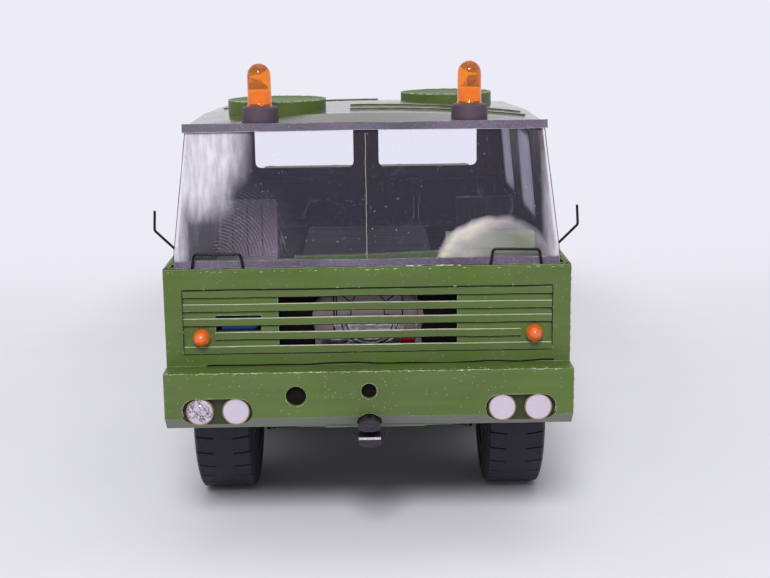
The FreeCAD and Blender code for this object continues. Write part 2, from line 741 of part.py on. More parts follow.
def cab_side(side):
    wall = prism_along(side_profile(side), PANEL_SETBACK + CARD, CAB_REAR)
    ahead = [(0, PANEL_TOP), (screen_plane(PANEL_TOP, FILM), PANEL_TOP)]
    ahead += [(screen_plane(EAVES_Z + 1, FILM), EAVES_Z + 1), (0, EAVES_Z + 1)]
    tools = [prism_across(ahead, -BODY_WIDTH, BODY_WIDTH), above_eaves(0), wheel_arch(0), wheel_arch(1)]
    x_low, x_high = sorted((0, side * BODY_WIDTH))
    for window in (FRONT_WINDOW, REAR_WINDOW):
        tools.append(prism_across(window_outline(window, window_heights(SIDE_WINDOW_SHARES)), x_low, x_high))
    for door in (FRONT_DOOR, REAR_DOOR):
        tools += door_groove(door, side)
    return [wall.cut(tools)]


def side_glazing():
    """Film panes glued inside the four side windows."""
    bottom, top = window_heights(SIDE_WINDOW_SHARES)
    low = bottom - WINDOW_LAP
    high = top + WINDOW_LAP
    skin = [(upper_wall_x(low, -CARD), low), (upper_wall_x(high, -CARD), high)]
    skin += [(upper_wall_x(high, -CARD - FILM), high), (upper_wall_x(low, -CARD - FILM), low)]
    panes = []
    for start, end in (FRONT_WINDOW, REAR_WINDOW):
        panes += both_sides(prism_along(skin, start - WINDOW_LAP, end + WINDOW_LAP))
    return panes


def cab_rear_wall():
    inner = HALF_WIDTH - CARD
    outline = [(-inner, FLOOR_TOP - CARD), (inner, FLOOR_TOP - CARD), (inner, PANEL_TOP)]
    outline += [(BELT_HALF_WIDTH - CARD, BELT_Z), (EAVES_HALF_WIDTH - CARD, EAVES_Z)]
    outline += [(CARD - EAVES_HALF_WIDTH, EAVES_Z), (CARD - BELT_HALF_WIDTH, BELT_Z), (-inner, PANEL_TOP)]
    wall = prism_along(outline, CAB_REAR - CARD, CAB_REAR)
    tools = [above_eaves(0)]
    for side in (-1, 1):
        x_range = tuple(sorted((side * BACK_WINDOW_INNER, side * BACK_WINDOW_OUTER)))
        window = window_outline(x_range, window_heights(BACK_WINDOW_SHARES))
        tools.append(prism_along(window, CAB_REAR - CARD - 1, CAB_REAR + 1))
    return [wall.cut(tools)]


def eaves_z(distance):
    """Height of the walls' top, which falls towards the rear of the cab."""
    behind_level = max(0, distance - ROOF_LEVEL_END)
    return EAVES_Z - ROOF_REAR_DROP * behind_level / (CAB_REAR + ROOF_OVERHANG - ROOF_LEVEL_END)


def above_eaves(rise):
    """Solid over the whole cab above the sloping eaves, raised by a distance."""
    end = CAB_REAR + ROOF_OVERHANG + 1
    points = [(ROOF_LEVEL_END, EAVES_Z + rise), (end, eaves_z(end) + rise), (end, 2 * EAVES_Z)]
    points += [(0, 2 * EAVES_Z), (0, EAVES_Z + rise)]
    return prism_across(points, -BODY_WIDTH, BODY_WIDTH)


def roof_row(distance, crown):
    """Points across the roof's arched top at one distance, from right to left."""
    half = EAVES_HALF_WIDTH + ROOF_OVERHANG
    row = []
    for step in range(ROOF_STEPS + 1):
        share = 2 * step / ROOF_STEPS - 1
        z = eaves_z(distance) + ROOF_EDGE + crown * (1 - share ** 2)
        row.append(FreeCAD.Vector(share * half, behind(distance), z))
    return row


def roof_crown(distance):
    """Rise of the arched top above the roof's edge on the centre line, behind the crease."""
    if distance <= ROOF_LEVEL_END:
        share = max(0, distance - ROOF_CREASE) / (ROOF_LEVEL_END - ROOF_CREASE)
        return ROOF_CREASE_CROWN + (ROOF_CROWN - ROOF_CREASE_CROWN) * share
    share = (distance - ROOF_LEVEL_END) / (CAB_REAR + ROOF_OVERHANG - ROOF_LEVEL_END)
    return ROOF_CROWN + (ROOF_REAR_CROWN - ROOF_CROWN) * share


def roof_top(distance):
    return eaves_z(distance) + ROOF_EDGE + roof_crown(distance)


def roof_solid():
    """Roof skin with its underside on the eaves and an arched top made of flat strips."""
    lip = screen_plane(EAVES_Z + STRIP_HEIGHT, 0)
    stations = [(lip, ROOF_LIP_CROWN), (ROOF_CREASE, ROOF_CREASE_CROWN), (ROOF_LEVEL_END, ROOF_CROWN)]
    stations.append((CAB_REAR + ROOF_OVERHANG, ROOF_REAR_CROWN))
    rows = [roof_row(distance, crown) for distance, crown in stations]
    feet = []
    for (distance, crown), row in zip(stations, rows):
        feet.append([FreeCAD.Vector(row[end].x, row[end].y, eaves_z(distance)) for end in (0, -1)])
    faces = []
    for index in range(len(rows) - 1):
        here, there = rows[index], rows[index + 1]
        for step in range(ROOF_STEPS):
            faces.append(face_of([here[step], here[step + 1], there[step + 1]]))
            faces.append(face_of([here[step], there[step + 1], there[step]]))
        for end in (0, -1):
            faces.append(face_of([here[end], there[end], feet[index + 1][end], feet[index][end]]))
        faces.append(face_of([feet[index][0], feet[index][1], feet[index + 1][1], feet[index + 1][0]]))
    for index in (0, -1):
        faces.append(face_of([feet[index][0]] + rows[index] + [feet[index][1]]))
    return closed_solid(faces)


def roof_ribs():
    z_range = (EAVES_Z, EAVES_Z + 2 * ROOF_CROWN)
    left, right = (RIB_INNER_X, RIB_OUTER_X), (-RIB_OUTER_X, -RIB_INNER_X)
    ribs = [box(left, (distance, distance + RIB_WIDTH), z_range) for distance in FRONT_RIBS]
    ribs += [box(right, (distance, distance + RIB_WIDTH), z_range) for distance in REAR_RIBS]
    return ribs


def cab_roof():
    roof = roof_solid()
    raised = roof.copy()
    raised.translate(FreeCAD.Vector(0, 0, RIB_HEIGHT))
    ribs = [rib.common(raised) for rib in roof_ribs()]
    roof = roof.fuse(ribs).removeSplitter()
    inner = EAVES_HALF_WIDTH - 2 * CARD
    hollow = box((-inner, inner), (ROOF_CREASE, CAB_REAR - 2 * CARD), (EAVES_Z / 2, 2 * EAVES_Z))
    return roof.cut(hollow.cut(above_eaves(ROOF_RECESS)))


def roof_hatches(roof):
    """Two round lids, seated on the arched roof skin."""
    lids = []
    for x, distance in ((-HATCH_X, FRONT_HATCH), (HATCH_X, REAR_HATCH)):
        top = roof_top(distance) + HATCH_HEIGHT - ROOF_EDGE
        lid = peg_up(EAVES_Z + ROOF_RECESS, top, x, distance, HATCH_DIAMETER, LID_SIDES)
        lids.append(upper_piece(lid.cut(roof)))
    return lids


def upper_piece(shape):
    return max(shape.Solids, key=lambda solid: solid.CenterOfMass.z)


def beacon_base_z():
    return roof_top(BEACON_SETBACK) - BEACON_SINK


def beacon_collars(roof):
    collars = []
    top = beacon_base_z() + COLLAR_HEIGHT
    seat_z = beacon_base_z() + BEACON_SEAT
    outer = COLLAR_DIAMETER / 2
    inner = BEACON_DIAMETER / 2 + BEACON_FIT
    profile = [(EAVES_Z + ROOF_RECESS, 0), (EAVES_Z + ROOF_RECESS, outer), (top, outer), (top, inner)]
    profile += [(seat_z, inner), (seat_z, 0)]
    for side in (-1, 1):
        centre = FreeCAD.Vector(side * BEACON_X, behind(BEACON_SETBACK), 0)
        ring = turned(profile, ROUND_SIDES, centre, FreeCAD.Vector(0, 0, 1), FreeCAD.Vector(1, 0, 0))
        collars.append(upper_piece(ring.cut(roof)))
    return collars


def beacon_lamps():
    radius = BEACON_DIAMETER / 2
    low = beacon_base_z() + BEACON_SEAT
    shoulder = beacon_base_z() + BEACON_HEIGHT + COLLAR_HEIGHT - radius
    profile = dome_profile(low, shoulder, radius)
    lamps = []
    for side in (-1, 1):
        centre = FreeCAD.Vector(side * BEACON_X, behind(BEACON_SETBACK), 0)
        lamps.append(turned(profile, ROUND_SIDES, centre, FreeCAD.Vector(0, 0, 1), FreeCAD.Vector(1, 0, 0)))
    return lamps


def grab_handles():
    distance = PANEL_SETBACK + WIRE / 2 + FIT
    top = PANEL_TOP + HANDLE_HEIGHT
    points = [(HANDLE_INNER_X, PANEL_TOP), (HANDLE_INNER_X, top)]
    points += [(HANDLE_OUTER_X, top), (HANDLE_OUTER_X, PANEL_TOP)]
    return both_sides(bent_wire(points, distance, WIRE, HANDLE_BEND))


def mirror_arms():
    root_z = BELT_Z + MIRROR_ROOT_RISE
    root_x = upper_wall_x(root_z, 0) + MIRROR_ROOT_GAP
    distance = SCREEN_FOOT + SCREEN_WRAP + MIRROR_SETBACK
    elbow_x = root_x + MIRROR_REACH
    points = [(root_x, root_z), (elbow_x, root_z + MIRROR_ELBOW_RISE)]
    points.append((elbow_x - MIRROR_LEAN, root_z + MIRROR_TIP_RISE))
    return both_sides(bent_wire(points, distance, WIRE, MIRROR_BEND))


def cab_floor():
    """Floor plate with the cover over the engine standing on it."""
    inner = HALF_WIDTH - CARD
    front = PANEL_SETBACK + SLAT_DEPTH + RECESS_DEPTH + RESERVOIR_DIAMETER + FLOOR_GAP
    floor = box((-inner, inner), (front, CAB_REAR - CARD), (FLOOR_TOP - CARD, FLOOR_TOP))
    outer_half = TUNNEL_HALF_WIDTH + CARD
    cover = box((-outer_half, outer_half), (front, TUNNEL_END + CARD), (FLOOR_TOP, TUNNEL_TOP))
    well = box((-TUNNEL_HALF_WIDTH, TUNNEL_HALF_WIDTH), (front - 1, TUNNEL_END),
               (FLOOR_TOP - 2 * CARD, TUNNEL_TOP - CARD))
    return [floor.fuse(cover).removeSplitter().cut(well)]


def instrument_panel():
    """Ledge under the windscreen, with the instrument box in front of the driver."""
    inner = HALF_WIDTH - CARD
    front = PANEL_SETBACK + CARD
    back = front + DASH_DEPTH
    ledge = box((-inner, inner), (front, back), (PANEL_TOP - CARD, PANEL_TOP))
    face_low = TUNNEL_TOP + DASH_GAP
    face = box((-inner, inner), (back - CARD, back), (face_low, PANEL_TOP - CARD))
    cluster_x = (CLUSTER_X - CLUSTER_WIDTH / 2, CLUSTER_X + CLUSTER_WIDTH / 2)
    cluster = box(cluster_x, (back - CLUSTER_DEPTH, back), (PANEL_TOP, CLUSTER_TOP))
    return [ledge.fuse([face, cluster]).removeSplitter()]


def steering_wheel():
    """Rim and boss on a sloping column that meets the instrument box."""
    dash_back = PANEL_SETBACK + CARD + DASH_DEPTH
    centre = FreeCAD.Vector(CLUSTER_X, behind(dash_back + STEERING_AHEAD), PANEL_TOP + STEERING_RISE)
    rake = math.radians(STEERING_RAKE)
    way = FreeCAD.Vector(0, math.sin(rake), math.cos(rake))
    side_way = FreeCAD.Vector(1, 0, 0)
    outer = STEERING_DIAMETER / 2
    half_rim = STEERING_RIM / 2
    middle = outer - half_rim
    section = [(-half_rim, middle), (0, outer), (half_rim, middle), (0, outer - STEERING_RIM)]
    rim = turned(section, ROUND_SIDES, centre, way, side_way)
    hub = turned(peg_profile(-half_rim, half_rim, STEERING_HUB / 2), THIN_SIDES, centre, way, side_way)
    column = turned(peg_profile(-STEERING_LENGTH, 0, STEERING_COLUMN / 2), THIN_SIDES, centre, way, side_way)
    width, depth = STEERING_SPOKE
    spokes = []
    for angle in (0, 120, 240):
        spoke = Part.makeBox(outer - half_rim, width, depth, FreeCAD.Vector(0, -width / 2, -depth / 2))
        spoke.rotate(FreeCAD.Vector(0, 0, 0), FreeCAD.Vector(0, 0, 1), angle + 90)
        turn = FreeCAD.Rotation(FreeCAD.Vector(0, 0, 1), way)
        spoke.Placement = FreeCAD.Placement(centre, turn).multiply(spoke.Placement)
        spokes.append(spoke)
    wheel = rim.fuse([hub, column] + spokes).removeSplitter()
    keep = box((CLUSTER_X - STEERING_DIAMETER, CLUSTER_X + STEERING_DIAMETER),
               (dash_back, dash_back + 2 * STEERING_DIAMETER), (FLOOR_TOP, CLUSTER_TOP + STEERING_DIAMETER))
    return [wheel.common(keep)]


def seat(x_range, front, depth, back_top):
    rear = front + depth
    cushion = box(x_range, (front, rear), (FLOOR_TOP, SEAT_TOP))
    back = box(x_range, (rear, rear + SEAT_BACK_THICKNESS), (FLOOR_TOP, back_top))
    return cushion.fuse(back).removeSplitter()


def front_seats():
    return both_sides(seat((SEAT_INNER_X, SEAT_OUTER_X), FRONT_SEAT, SEAT_DEPTH, SEAT_BACK_TOP))


def rear_bench():
    front = CAB_REAR - CARD - SEAT_BACK_THICKNESS - BENCH_DEPTH
    back_top = window_heights(BACK_WINDOW_SHARES)[0] - CARD
    return [seat((-BENCH_HALF_WIDTH, BENCH_HALF_WIDTH), front, BENCH_DEPTH, back_top)]


def backbone_tube():
    return [peg_along(BACKBONE_FRONT, BACKBONE_REAR, 0, wheel_radius(), BACKBONE_DIAMETER, ROD_SIDES)]


def chassis_rails():
    """Two channel rails with the tail crossmember that joins their rear ends."""
    front = CHAMFER + CARD + 1 + BRACE_DEPTH
    tail_front = BODY_LENGTH - BRACE_DEPTH
    rail = box((RAIL_INNER, RAIL_OUTER), (front, tail_front), (RAIL_BOTTOM, RAIL_TOP))
    groove_z = (RAIL_BOTTOM + RAIL_WALL, RAIL_TOP - RAIL_WALL)
    rail = rail.cut(box((RAIL_INNER + RAIL_WALL, RAIL_OUTER + 1), (front - 1, BODY_LENGTH), groove_z))
    tail_d = (tail_front, BODY_LENGTH - REAR_LAMP_THICKNESS)
    tail = box((-TAIL_HALF_WIDTH, TAIL_HALF_WIDTH), tail_d, (RAIL_BOTTOM, RAIL_TOP))
    return [tail.fuse(both_sides(rail)).removeSplitter()]


def crossmember_distances():
    """Ahead of the first axle, midway between neighbours, and behind the last axle."""
    axles = [axle_distance(index) for index in range(AXLE_COUNT)]
    between = [(here + there) / 2 for here, there in zip(axles, axles[1:])]
    last = axles[-1] + LAST_CROSSMEMBER_SHARE * (BODY_LENGTH - axles[-1])
    return [FIRST_CROSSMEMBER] + between + [last]


def chassis_crossmembers():
    members = []
    tube = backbone_tube()[0]
    end_z = RAIL_BOTTOM - CROSSMEMBER_DROP
    foot_x = BACKBONE_DIAMETER / 2 + CROSSMEMBER_MARGIN
    right = [(foot_x, wheel_radius()), (RAIL_OUTER, end_z), (RAIL_OUTER, RAIL_BOTTOM)]
    left = [(-x, z) for x, z in reversed(right)]
    for distance in crossmember_distances():
        start = distance - CROSSMEMBER_WIDTH / 2
        members.append(prism_along(right + left, start, start + CROSSMEMBER_WIDTH).cut(tube))
    return members


def cab_mounts():
    posts = []
    z_range = (RAIL_TOP, FLOOR_TOP - CARD)
    for distance in (FIRST_CAB_MOUNT, crossmember_distances()[1], LAST_CAB_MOUNT):
        d_range = (distance - CAB_MOUNT_WIDTH / 2, distance + CAB_MOUNT_WIDTH / 2)
        posts += both_sides(box((RAIL_INNER + CAB_MOUNT_INSET, RAIL_OUTER), d_range, z_range))
    return posts


def axle(index):
    """Housing on the backbone, half axles, knuckle flanges and the stub shafts that carry the wheels."""
    distance = axle_distance(index)
    half = HOUSING_LENGTH / 2
    housing = peg_along(distance - half, distance + half, 0, wheel_radius(), HOUSING_DIAMETER, ROD_SIDES)
    flange = WHEEL_X - HUB_INNER - HUB_GAP
    tube = HALF_AXLE_DIAMETER / 2
    knuckle = KNUCKLE_DIAMETER / 2
    stub = STUB_DIAMETER / 2
    flange_back = flange - KNUCKLE_THICKNESS
    half_profile = [(flange_back, tube), (flange_back, knuckle), (flange, knuckle)]
    half_profile += [(flange, stub), (STUB_END, stub), (STUB_END, 0)]
    profile = [(-offset, radius) for offset, radius in reversed(half_profile)] + half_profile
    centre = FreeCAD.Vector(0, behind(distance), wheel_radius())
    shafts = turned(profile, AXLE_SIDES, centre, FreeCAD.Vector(1, 0, 0), FreeCAD.Vector(0, 0, 1))
    return housing.fuse(shafts).removeSplitter().cut(backbone_tube()[0])


def tyre_ring(side, x_centre, distance):
    half = TYRE_WIDTH / 2
    outer = corner_radius(TYRE_DIAMETER / 2, TYRE_SIDES)
    inner = corner_radius(RIM_DIAMETER / 2, TYRE_SIDES)
    profile = [(-half, inner), (-half, outer - TREAD_SHOULDER), (-half + TREAD_SHOULDER, outer)]
    profile += [(half - TREAD_SHOULDER, outer), (half, outer - TREAD_SHOULDER), (half, inner)]
    centre = FreeCAD.Vector(x_centre, behind(distance), wheel_radius())
    return turned(profile, TYRE_SIDES, centre, FreeCAD.Vector(side, 0, 0), FreeCAD.Vector(0, 0, -1))


def disc_solid(side, x_centre, distance):
    """Rim, dished disc with hand holes, and hub; offsets grow towards the outside of the truck."""
    half = TYRE_WIDTH / 2
    rim_face = half - SIDEWALL_INSET
    outer = RIM_DIAMETER / 2
    plate = half - DISC_SETBACK
    hub = HUB_DIAMETER / 2
    bore = corner_radius(STUB_DIAMETER / 2 + FIT, DISC_SIDES)
    profile = [(plate - DISC_PLATE, outer), (rim_face, outer), (rim_face, outer - RIM_WALL)]
    profile += [(plate, outer - 2 * RIM_WALL), (plate, hub), (plate + HUB_PROUD, hub)]
    profile += [(plate + HUB_PROUD, bore), (-HUB_INNER, bore), (-HUB_INNER, hub), (plate - DISC_PLATE, hub)]
    centre = FreeCAD.Vector(x_centre, behind(distance), wheel_radius())
    along = FreeCAD.Vector(side, 0, 0)
    up = FreeCAD.Vector(0, 0, 1)
    solid = turned(profile, DISC_SIDES, centre, along, up)
    hole = peg_profile(plate - DISC_PLATE - 1, plate + 1, HAND_HOLE_DIAMETER / 2)
    tools = []
    for index in range(HAND_HOLES):
        angle = 2 * math.pi * (index + 0.5) / HAND_HOLES
        across = FreeCAD.Vector(0, math.cos(angle), math.sin(angle)) * (HAND_HOLE_CIRCLE / 2)
        tools.append(turned(hole, HOLE_SIDES, centre + across, along, across.normalize()))
    return solid.cut(tools)


def spare_place(shape):
    """Lay a wheel made about the X axis flat on the carrier."""
    centre = FreeCAD.Vector(0, behind(spare_distance()), wheel_radius())
    shape.rotate(centre, FreeCAD.Vector(0, 1, 0), -90)
    shape.translate(FreeCAD.Vector(0, 0, RAIL_TOP + SPARE_PLINTH + TYRE_WIDTH / 2 - wheel_radius()))
    return shape


def spare_distance():
    return CAB_REAR + (BED_FRONT - CAB_REAR) / 2


def spare_tyre():
    return [spare_place(tyre_ring(1, 0, spare_distance()))]


def spare_wheel_disc():
    return [spare_place(disc_solid(1, 0, spare_distance()))]


def spare_carrier():
    """Cross of two flat bars on the rails, with a centre peg that holds the spare wheel."""
    distance = spare_distance()
    half = RAIL_OUTER
    hub_bottom = RAIL_TOP + SPARE_PLINTH + TYRE_WIDTH / 2 - HUB_INNER
    spine_range = (distance - CARRIER_REACH, distance + CARRIER_REACH)
    spine_x = (-CARRIER_HALF_WIDTH, CARRIER_HALF_WIDTH)
    pieces = [peg_up(hub_bottom, hub_bottom + SPARE_PEG, 0, distance, STUB_DIAMETER, ROD_SIDES)]
    for offset in (-CARRIER_REACH, CARRIER_REACH):
        d_range = (distance + offset - CARRIER_BAR / 2, distance + offset + CARRIER_BAR / 2)
        pieces.append(box((-half, half), d_range, (RAIL_TOP, RAIL_TOP + SPARE_PLINTH)))
        pieces.append(box(spine_x, d_range, (RAIL_TOP - SPARE_PLINTH, RAIL_TOP)))
    spine = box(spine_x, spine_range, (RAIL_TOP - SPARE_PLINTH, hub_bottom))
    return [spine.fuse(pieces).removeSplitter()]


def side_box(side, corner):
    """Box with rounded long edges, hung on two brackets from the chassis rail."""
    bay = MIDDLE_SPACING - TYRE_DIAMETER
    front = axle_distance(1) + wheel_radius() + TANK_START_SHARE * bay
    length = TANK_LENGTH_SHARE * bay
    x_range = tuple(sorted((side * TANK_INNER, side * TANK_OUTER)))
    outline = rounded_outline(x_range, (TANK_BOTTOM, TANK_TOP), corner, CORNER_STEPS)
    tank = prism_along(outline, front, front + length)
    brackets = []
    bracket = tuple(sorted((side * RAIL_OUTER, side * TANK_INNER)))
    inset = TANK_BRACKET_SHARE * length
    for start in (front + inset, front + length - inset - TANK_BRACKET):
        brackets.append(box(bracket, (start, start + TANK_BRACKET), (RAIL_BOTTOM, RAIL_TOP - TANK_BRACKET)))
    return [tank.fuse(brackets).removeSplitter()]


def stack_bracket(side):
    """Upright on the rail and an arm that passes over the second tyre."""
    start = CAB_REAR + BRACKET_GAP
    d_range = (start, start + BRACKET)
    root = RAIL_OUTER
    arm_z = (AIR_CLEANER_BOTTOM, AIR_CLEANER_BOTTOM + BRACKET)
    upright_x = tuple(sorted((side * (root - BRACKET), side * root)))
    arm_x = tuple(sorted((side * root, side * (AIR_CLEANER_X + BRACKET))))
    tongue_x = tuple(sorted((side * (AIR_CLEANER_X - BRACKET), side * (AIR_CLEANER_X + BRACKET))))
    upright = box(upright_x, d_range, (RAIL_TOP, arm_z[1]))
    return [upright, box(arm_x, d_range, arm_z), box(tongue_x, (start, AIR_CLEANER_DISTANCE), arm_z)]


def air_cleaner():
    x = AIR_CLEANER_X
    low = AIR_CLEANER_TOP
    high = AIR_CLEANER_TOP + AIR_CLEANER_CAP
    cap_diameter = AIR_CLEANER_DIAMETER + AIR_CLEANER_CAP
    body = peg_up(AIR_CLEANER_BOTTOM, low, x, AIR_CLEANER_DISTANCE, AIR_CLEANER_DIAMETER, ROUND_SIDES)
    cap = peg_up(low, high, x, AIR_CLEANER_DISTANCE, cap_diameter, ROUND_SIDES)
    return [body.fuse([cap] + stack_bracket(1)).removeSplitter()]


def silencer():
    x = -AIR_CLEANER_X
    shoulder = AIR_CLEANER_TOP - STACK_LENGTH
    top = AIR_CLEANER_TOP + AIR_CLEANER_CAP
    can = peg_up(AIR_CLEANER_BOTTOM, shoulder, x, AIR_CLEANER_DISTANCE, SILENCER_DIAMETER, ROUND_SIDES)
    stack = peg_up(shoulder, top, x, AIR_CLEANER_DISTANCE, STACK_DIAMETER, THIN_SIDES)
    return [can.fuse([stack] + stack_bracket(-1)).removeSplitter()]


def bed_floor_top():
    return DECK_Z + BED_FLOOR


def bed_half_width():
    """Half width of the bed floor between the side boards."""
    return HALF_WIDTH - POST_DEPTH - BOARD


def bed_bearers():
    """Cross bearers on the rails; those above a wheel stop short of the tyres."""
    bearers = []
    reach = wheel_radius() + BEARER_WIDTH / 2 + THIN_CARD
    end_z = DECK_Z - BEARER_END
    for share in BEARER_SHARES:
        distance = BED_FRONT + share * (BODY_LENGTH - BED_FRONT)
        over_wheel = any(abs(distance - axle_distance(index)) < reach for index in range(AXLE_COUNT))
        half = NARROW_BEARER if over_wheel else bed_half_width()
        right = [(RAIL_OUTER + BEARER_MARGIN, RAIL_TOP), (half, end_z), (half, DECK_Z)]
        left = [(-x, z) for x, z in reversed(right)]
        start = distance - BEARER_WIDTH / 2
        bearers.append(prism_along(right + left, start, start + BEARER_WIDTH))
    return bearers


def bed_floor():
    half = bed_half_width()
    d_range = (BED_FRONT + BOARD, BODY_LENGTH - POST_DEPTH - BOARD)
    return [box((-half, half), d_range, (DECK_Z, bed_floor_top()))]


def edge_z_range():
    """Bottom and top of the low boards that frame the bed floor."""
    return (DECK_Z - BEARER_END, bed_floor_top())


def side_board(side):
    """Low board along one side of the bed, with stake pockets on its outer face."""
    outer = HALF_WIDTH - POST_DEPTH
    x_range = tuple(sorted((side * (outer - BOARD), side * outer)))
    front = BED_FRONT + BOARD
    rear = BODY_LENGTH - POST_DEPTH - BOARD
    board = box(x_range, (front, rear), edge_z_range())
    post_x = tuple(sorted((side * outer, side * (outer + POST_DEPTH))))
    posts = []
    for index in range(POSTS):
        start = front + (rear - front - POST_WIDTH) * index / (POSTS - 1)
        posts.append(box(post_x, (start, start + POST_WIDTH), edge_z_range()))
    return [board.fuse(posts).removeSplitter()]


def post_starts(half, count):
    """Right edges of posts spread evenly across a width."""
    return [(2 * half - POST_WIDTH) * index / (count - 1) - half for index in range(count)]


def headboard():
    """Board behind the cab that keeps the load off it, stiffened by posts on its front face."""
    half = HALF_WIDTH - POST_DEPTH
    z_range = (DECK_Z - BEARER_END, bed_floor_top() + HEADBOARD_HEIGHT)
    board = box((-half, half), (BED_FRONT, BED_FRONT + BOARD), z_range)
    posts = []
    for x in post_starts(half, HEADBOARD_POSTS):
        posts.append(box((x, x + POST_WIDTH), (BED_FRONT - POST_DEPTH, BED_FRONT), z_range))
    return board.fuse(posts).removeSplitter()


def tail_board():
    """Low board across the bed's rear end, with stake pockets."""
    rear = BODY_LENGTH - POST_DEPTH
    half = HALF_WIDTH - POST_DEPTH
    board = box((-half, half), (rear - BOARD, rear), edge_z_range())
    posts = []
    for x in post_starts(half, HEADBOARD_POSTS):
        posts.append(box((x, x + POST_WIDTH), (rear, BODY_LENGTH), edge_z_range()))
    return board.fuse(posts).removeSplitter()


def mudflaps():
    """Flaps hanging from the bed floor behind the last tyres."""
    start = axle_distance(AXLE_COUNT - 1) + wheel_radius() + FLAP_GAP
    x_range = (WHEEL_X - TYRE_WIDTH / 2, WHEEL_X + TYRE_WIDTH / 2)
    return both_sides(box(x_range, (start, start + FLAP_THICKNESS), (FLAP_BOTTOM, DECK_Z)))


def rear_lamps():
    lamps = []
    z = (RAIL_BOTTOM + RAIL_TOP) / 2
    front = BODY_LENGTH - REAR_LAMP_THICKNESS
    for x in REAR_LAMPS:
        lamps += both_sides(peg_along(front, BODY_LENGTH, x, z, REAR_LAMP_DIAMETER, ROD_SIDES))
    return lamps


def pieces():
    """Every node's name with its solids."""
    front_jaw = tow_jaw(-1, CHAMFER + CARD + 1, -JAW_REACH, JAW_BOTTOM)
    rear_jaw = tow_jaw(1, BODY_LENGTH - REAR_LAMP_THICKNESS, BODY_LENGTH + JAW_REACH, REAR_JAW_BOTTOM)
    roof = cab_roof()
    table = {
        "bumper": bumper(),
        "headlamp_recesses": headlamp_recesses(),
        "headlamps": headlamps(),
        "tow_brace": tow_brace(),
        "tow_jaws": front_jaw + rear_jaw,
        "cab_front_panel": cab_front_panel(),
        "grille_slats": grille_slats(),
        "grille_backing": grille_backing(),
        "indicator_lamps": indicator_lamps(),
        "reservoir": reservoir(),
        "engine_block": engine_block(),
        "engine_disc": engine_disc(),
        "windscreen": windscreen(),
        "windscreen_strips": windscreen_strips(),
        "cab_side_left": cab_side(1),
        "cab_side_right": cab_side(-1),
        "side_glazing": side_glazing(),
        "cab_rear_wall": cab_rear_wall(),
        "cab_roof": [roof],
        "roof_hatches": roof_hatches(roof),
        "beacon_collars": beacon_collars(roof),
        "beacon_lamps": beacon_lamps(),
        "wire_handles_and_arms": grab_handles() + mirror_arms(),
        "cab_floor": cab_floor(),
        "instrument_panel": instrument_panel(),
        "steering_wheel": steering_wheel(),
        "seats": front_seats() + rear_bench(),
        "backbone_tube": backbone_tube(),
        "chassis_rails": chassis_rails(),
        "chassis_crossmembers": chassis_crossmembers() + cab_mounts(),
        "axles": [axle(index) for index in range(AXLE_COUNT)],
        "fuel_tank": side_box(1, TANK_CORNER),
        "tool_box": side_box(-1, TOOL_BOX_CORNER),
        "air_cleaner": air_cleaner(),
        "silencer": silencer(),
        "spare_tyre": spare_tyre(),
        "spare_wheel_disc": spare_wheel_disc(),
        "spare_carrier": spare_carrier(),
        "bed_bearers": bed_bearers(),
        "bed_floor": bed_floor(),
        "side_boards": side_board(1) + side_board(-1),
        "end_boards": [headboard(), tail_board()],
        "mudflaps": mudflaps(),
        "rear_lamps": rear_lamps(),
    }
    for side, word in ((1, "left"), (-1, "right")):
        first_tyre = tyre_ring(side, side * WHEEL_X, FIRST_AXLE)
        first_disc = disc_solid(side, side * WHEEL_X, FIRST_AXLE)
        for index in range(AXLE_COUNT):
            shift = FreeCAD.Vector(0, axle_distance(index) - FIRST_AXLE, 0)
            table["tyre_%d_%s" % (index + 1, word)] = [first_tyre.translated(shift)]
            table["wheel_disc_%d_%s" % (index + 1, word)] = [first_disc.translated(shift)]
    return table


def main():
    os.makedirs("parts", exist_ok=True)
    for name, solids in pieces().items():
        shape = solids[0] if len(solids) == 1 else Part.makeCompound(solids)
        shape.exportStep("parts/%s.step" % name)


main()
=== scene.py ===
"""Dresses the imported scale-model military cargo truck and sets up its studio."""

import json
import random
from functools import partial
from math import cos, pi, radians, sin

import bmesh
import bpy
from mathutils import Matrix, Vector, geometry, noise


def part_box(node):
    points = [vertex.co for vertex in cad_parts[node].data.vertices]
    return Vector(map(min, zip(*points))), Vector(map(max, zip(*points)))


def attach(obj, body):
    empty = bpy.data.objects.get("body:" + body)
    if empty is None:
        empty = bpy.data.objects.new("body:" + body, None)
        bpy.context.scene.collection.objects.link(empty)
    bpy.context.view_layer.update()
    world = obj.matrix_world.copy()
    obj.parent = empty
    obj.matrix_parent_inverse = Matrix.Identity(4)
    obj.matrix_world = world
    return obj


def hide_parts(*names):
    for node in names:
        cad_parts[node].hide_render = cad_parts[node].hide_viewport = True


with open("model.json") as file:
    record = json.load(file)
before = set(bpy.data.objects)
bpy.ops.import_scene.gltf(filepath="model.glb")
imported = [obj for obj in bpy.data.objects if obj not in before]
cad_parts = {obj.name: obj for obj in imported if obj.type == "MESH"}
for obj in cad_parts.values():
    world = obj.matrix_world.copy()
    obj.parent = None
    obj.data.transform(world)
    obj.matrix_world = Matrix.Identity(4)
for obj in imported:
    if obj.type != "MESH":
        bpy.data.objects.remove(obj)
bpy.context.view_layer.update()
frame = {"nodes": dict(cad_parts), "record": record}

bl_info = {
    "name": "Card model cargo truck",
    "version": (1, 0, 0),
    "blender": (4, 5, 0),
    "location": "View3D > Sidebar > Truck",
    "description": "Builds the finished surfaces and details of a 1:32 card cargo truck",
    "category": "Object",
}

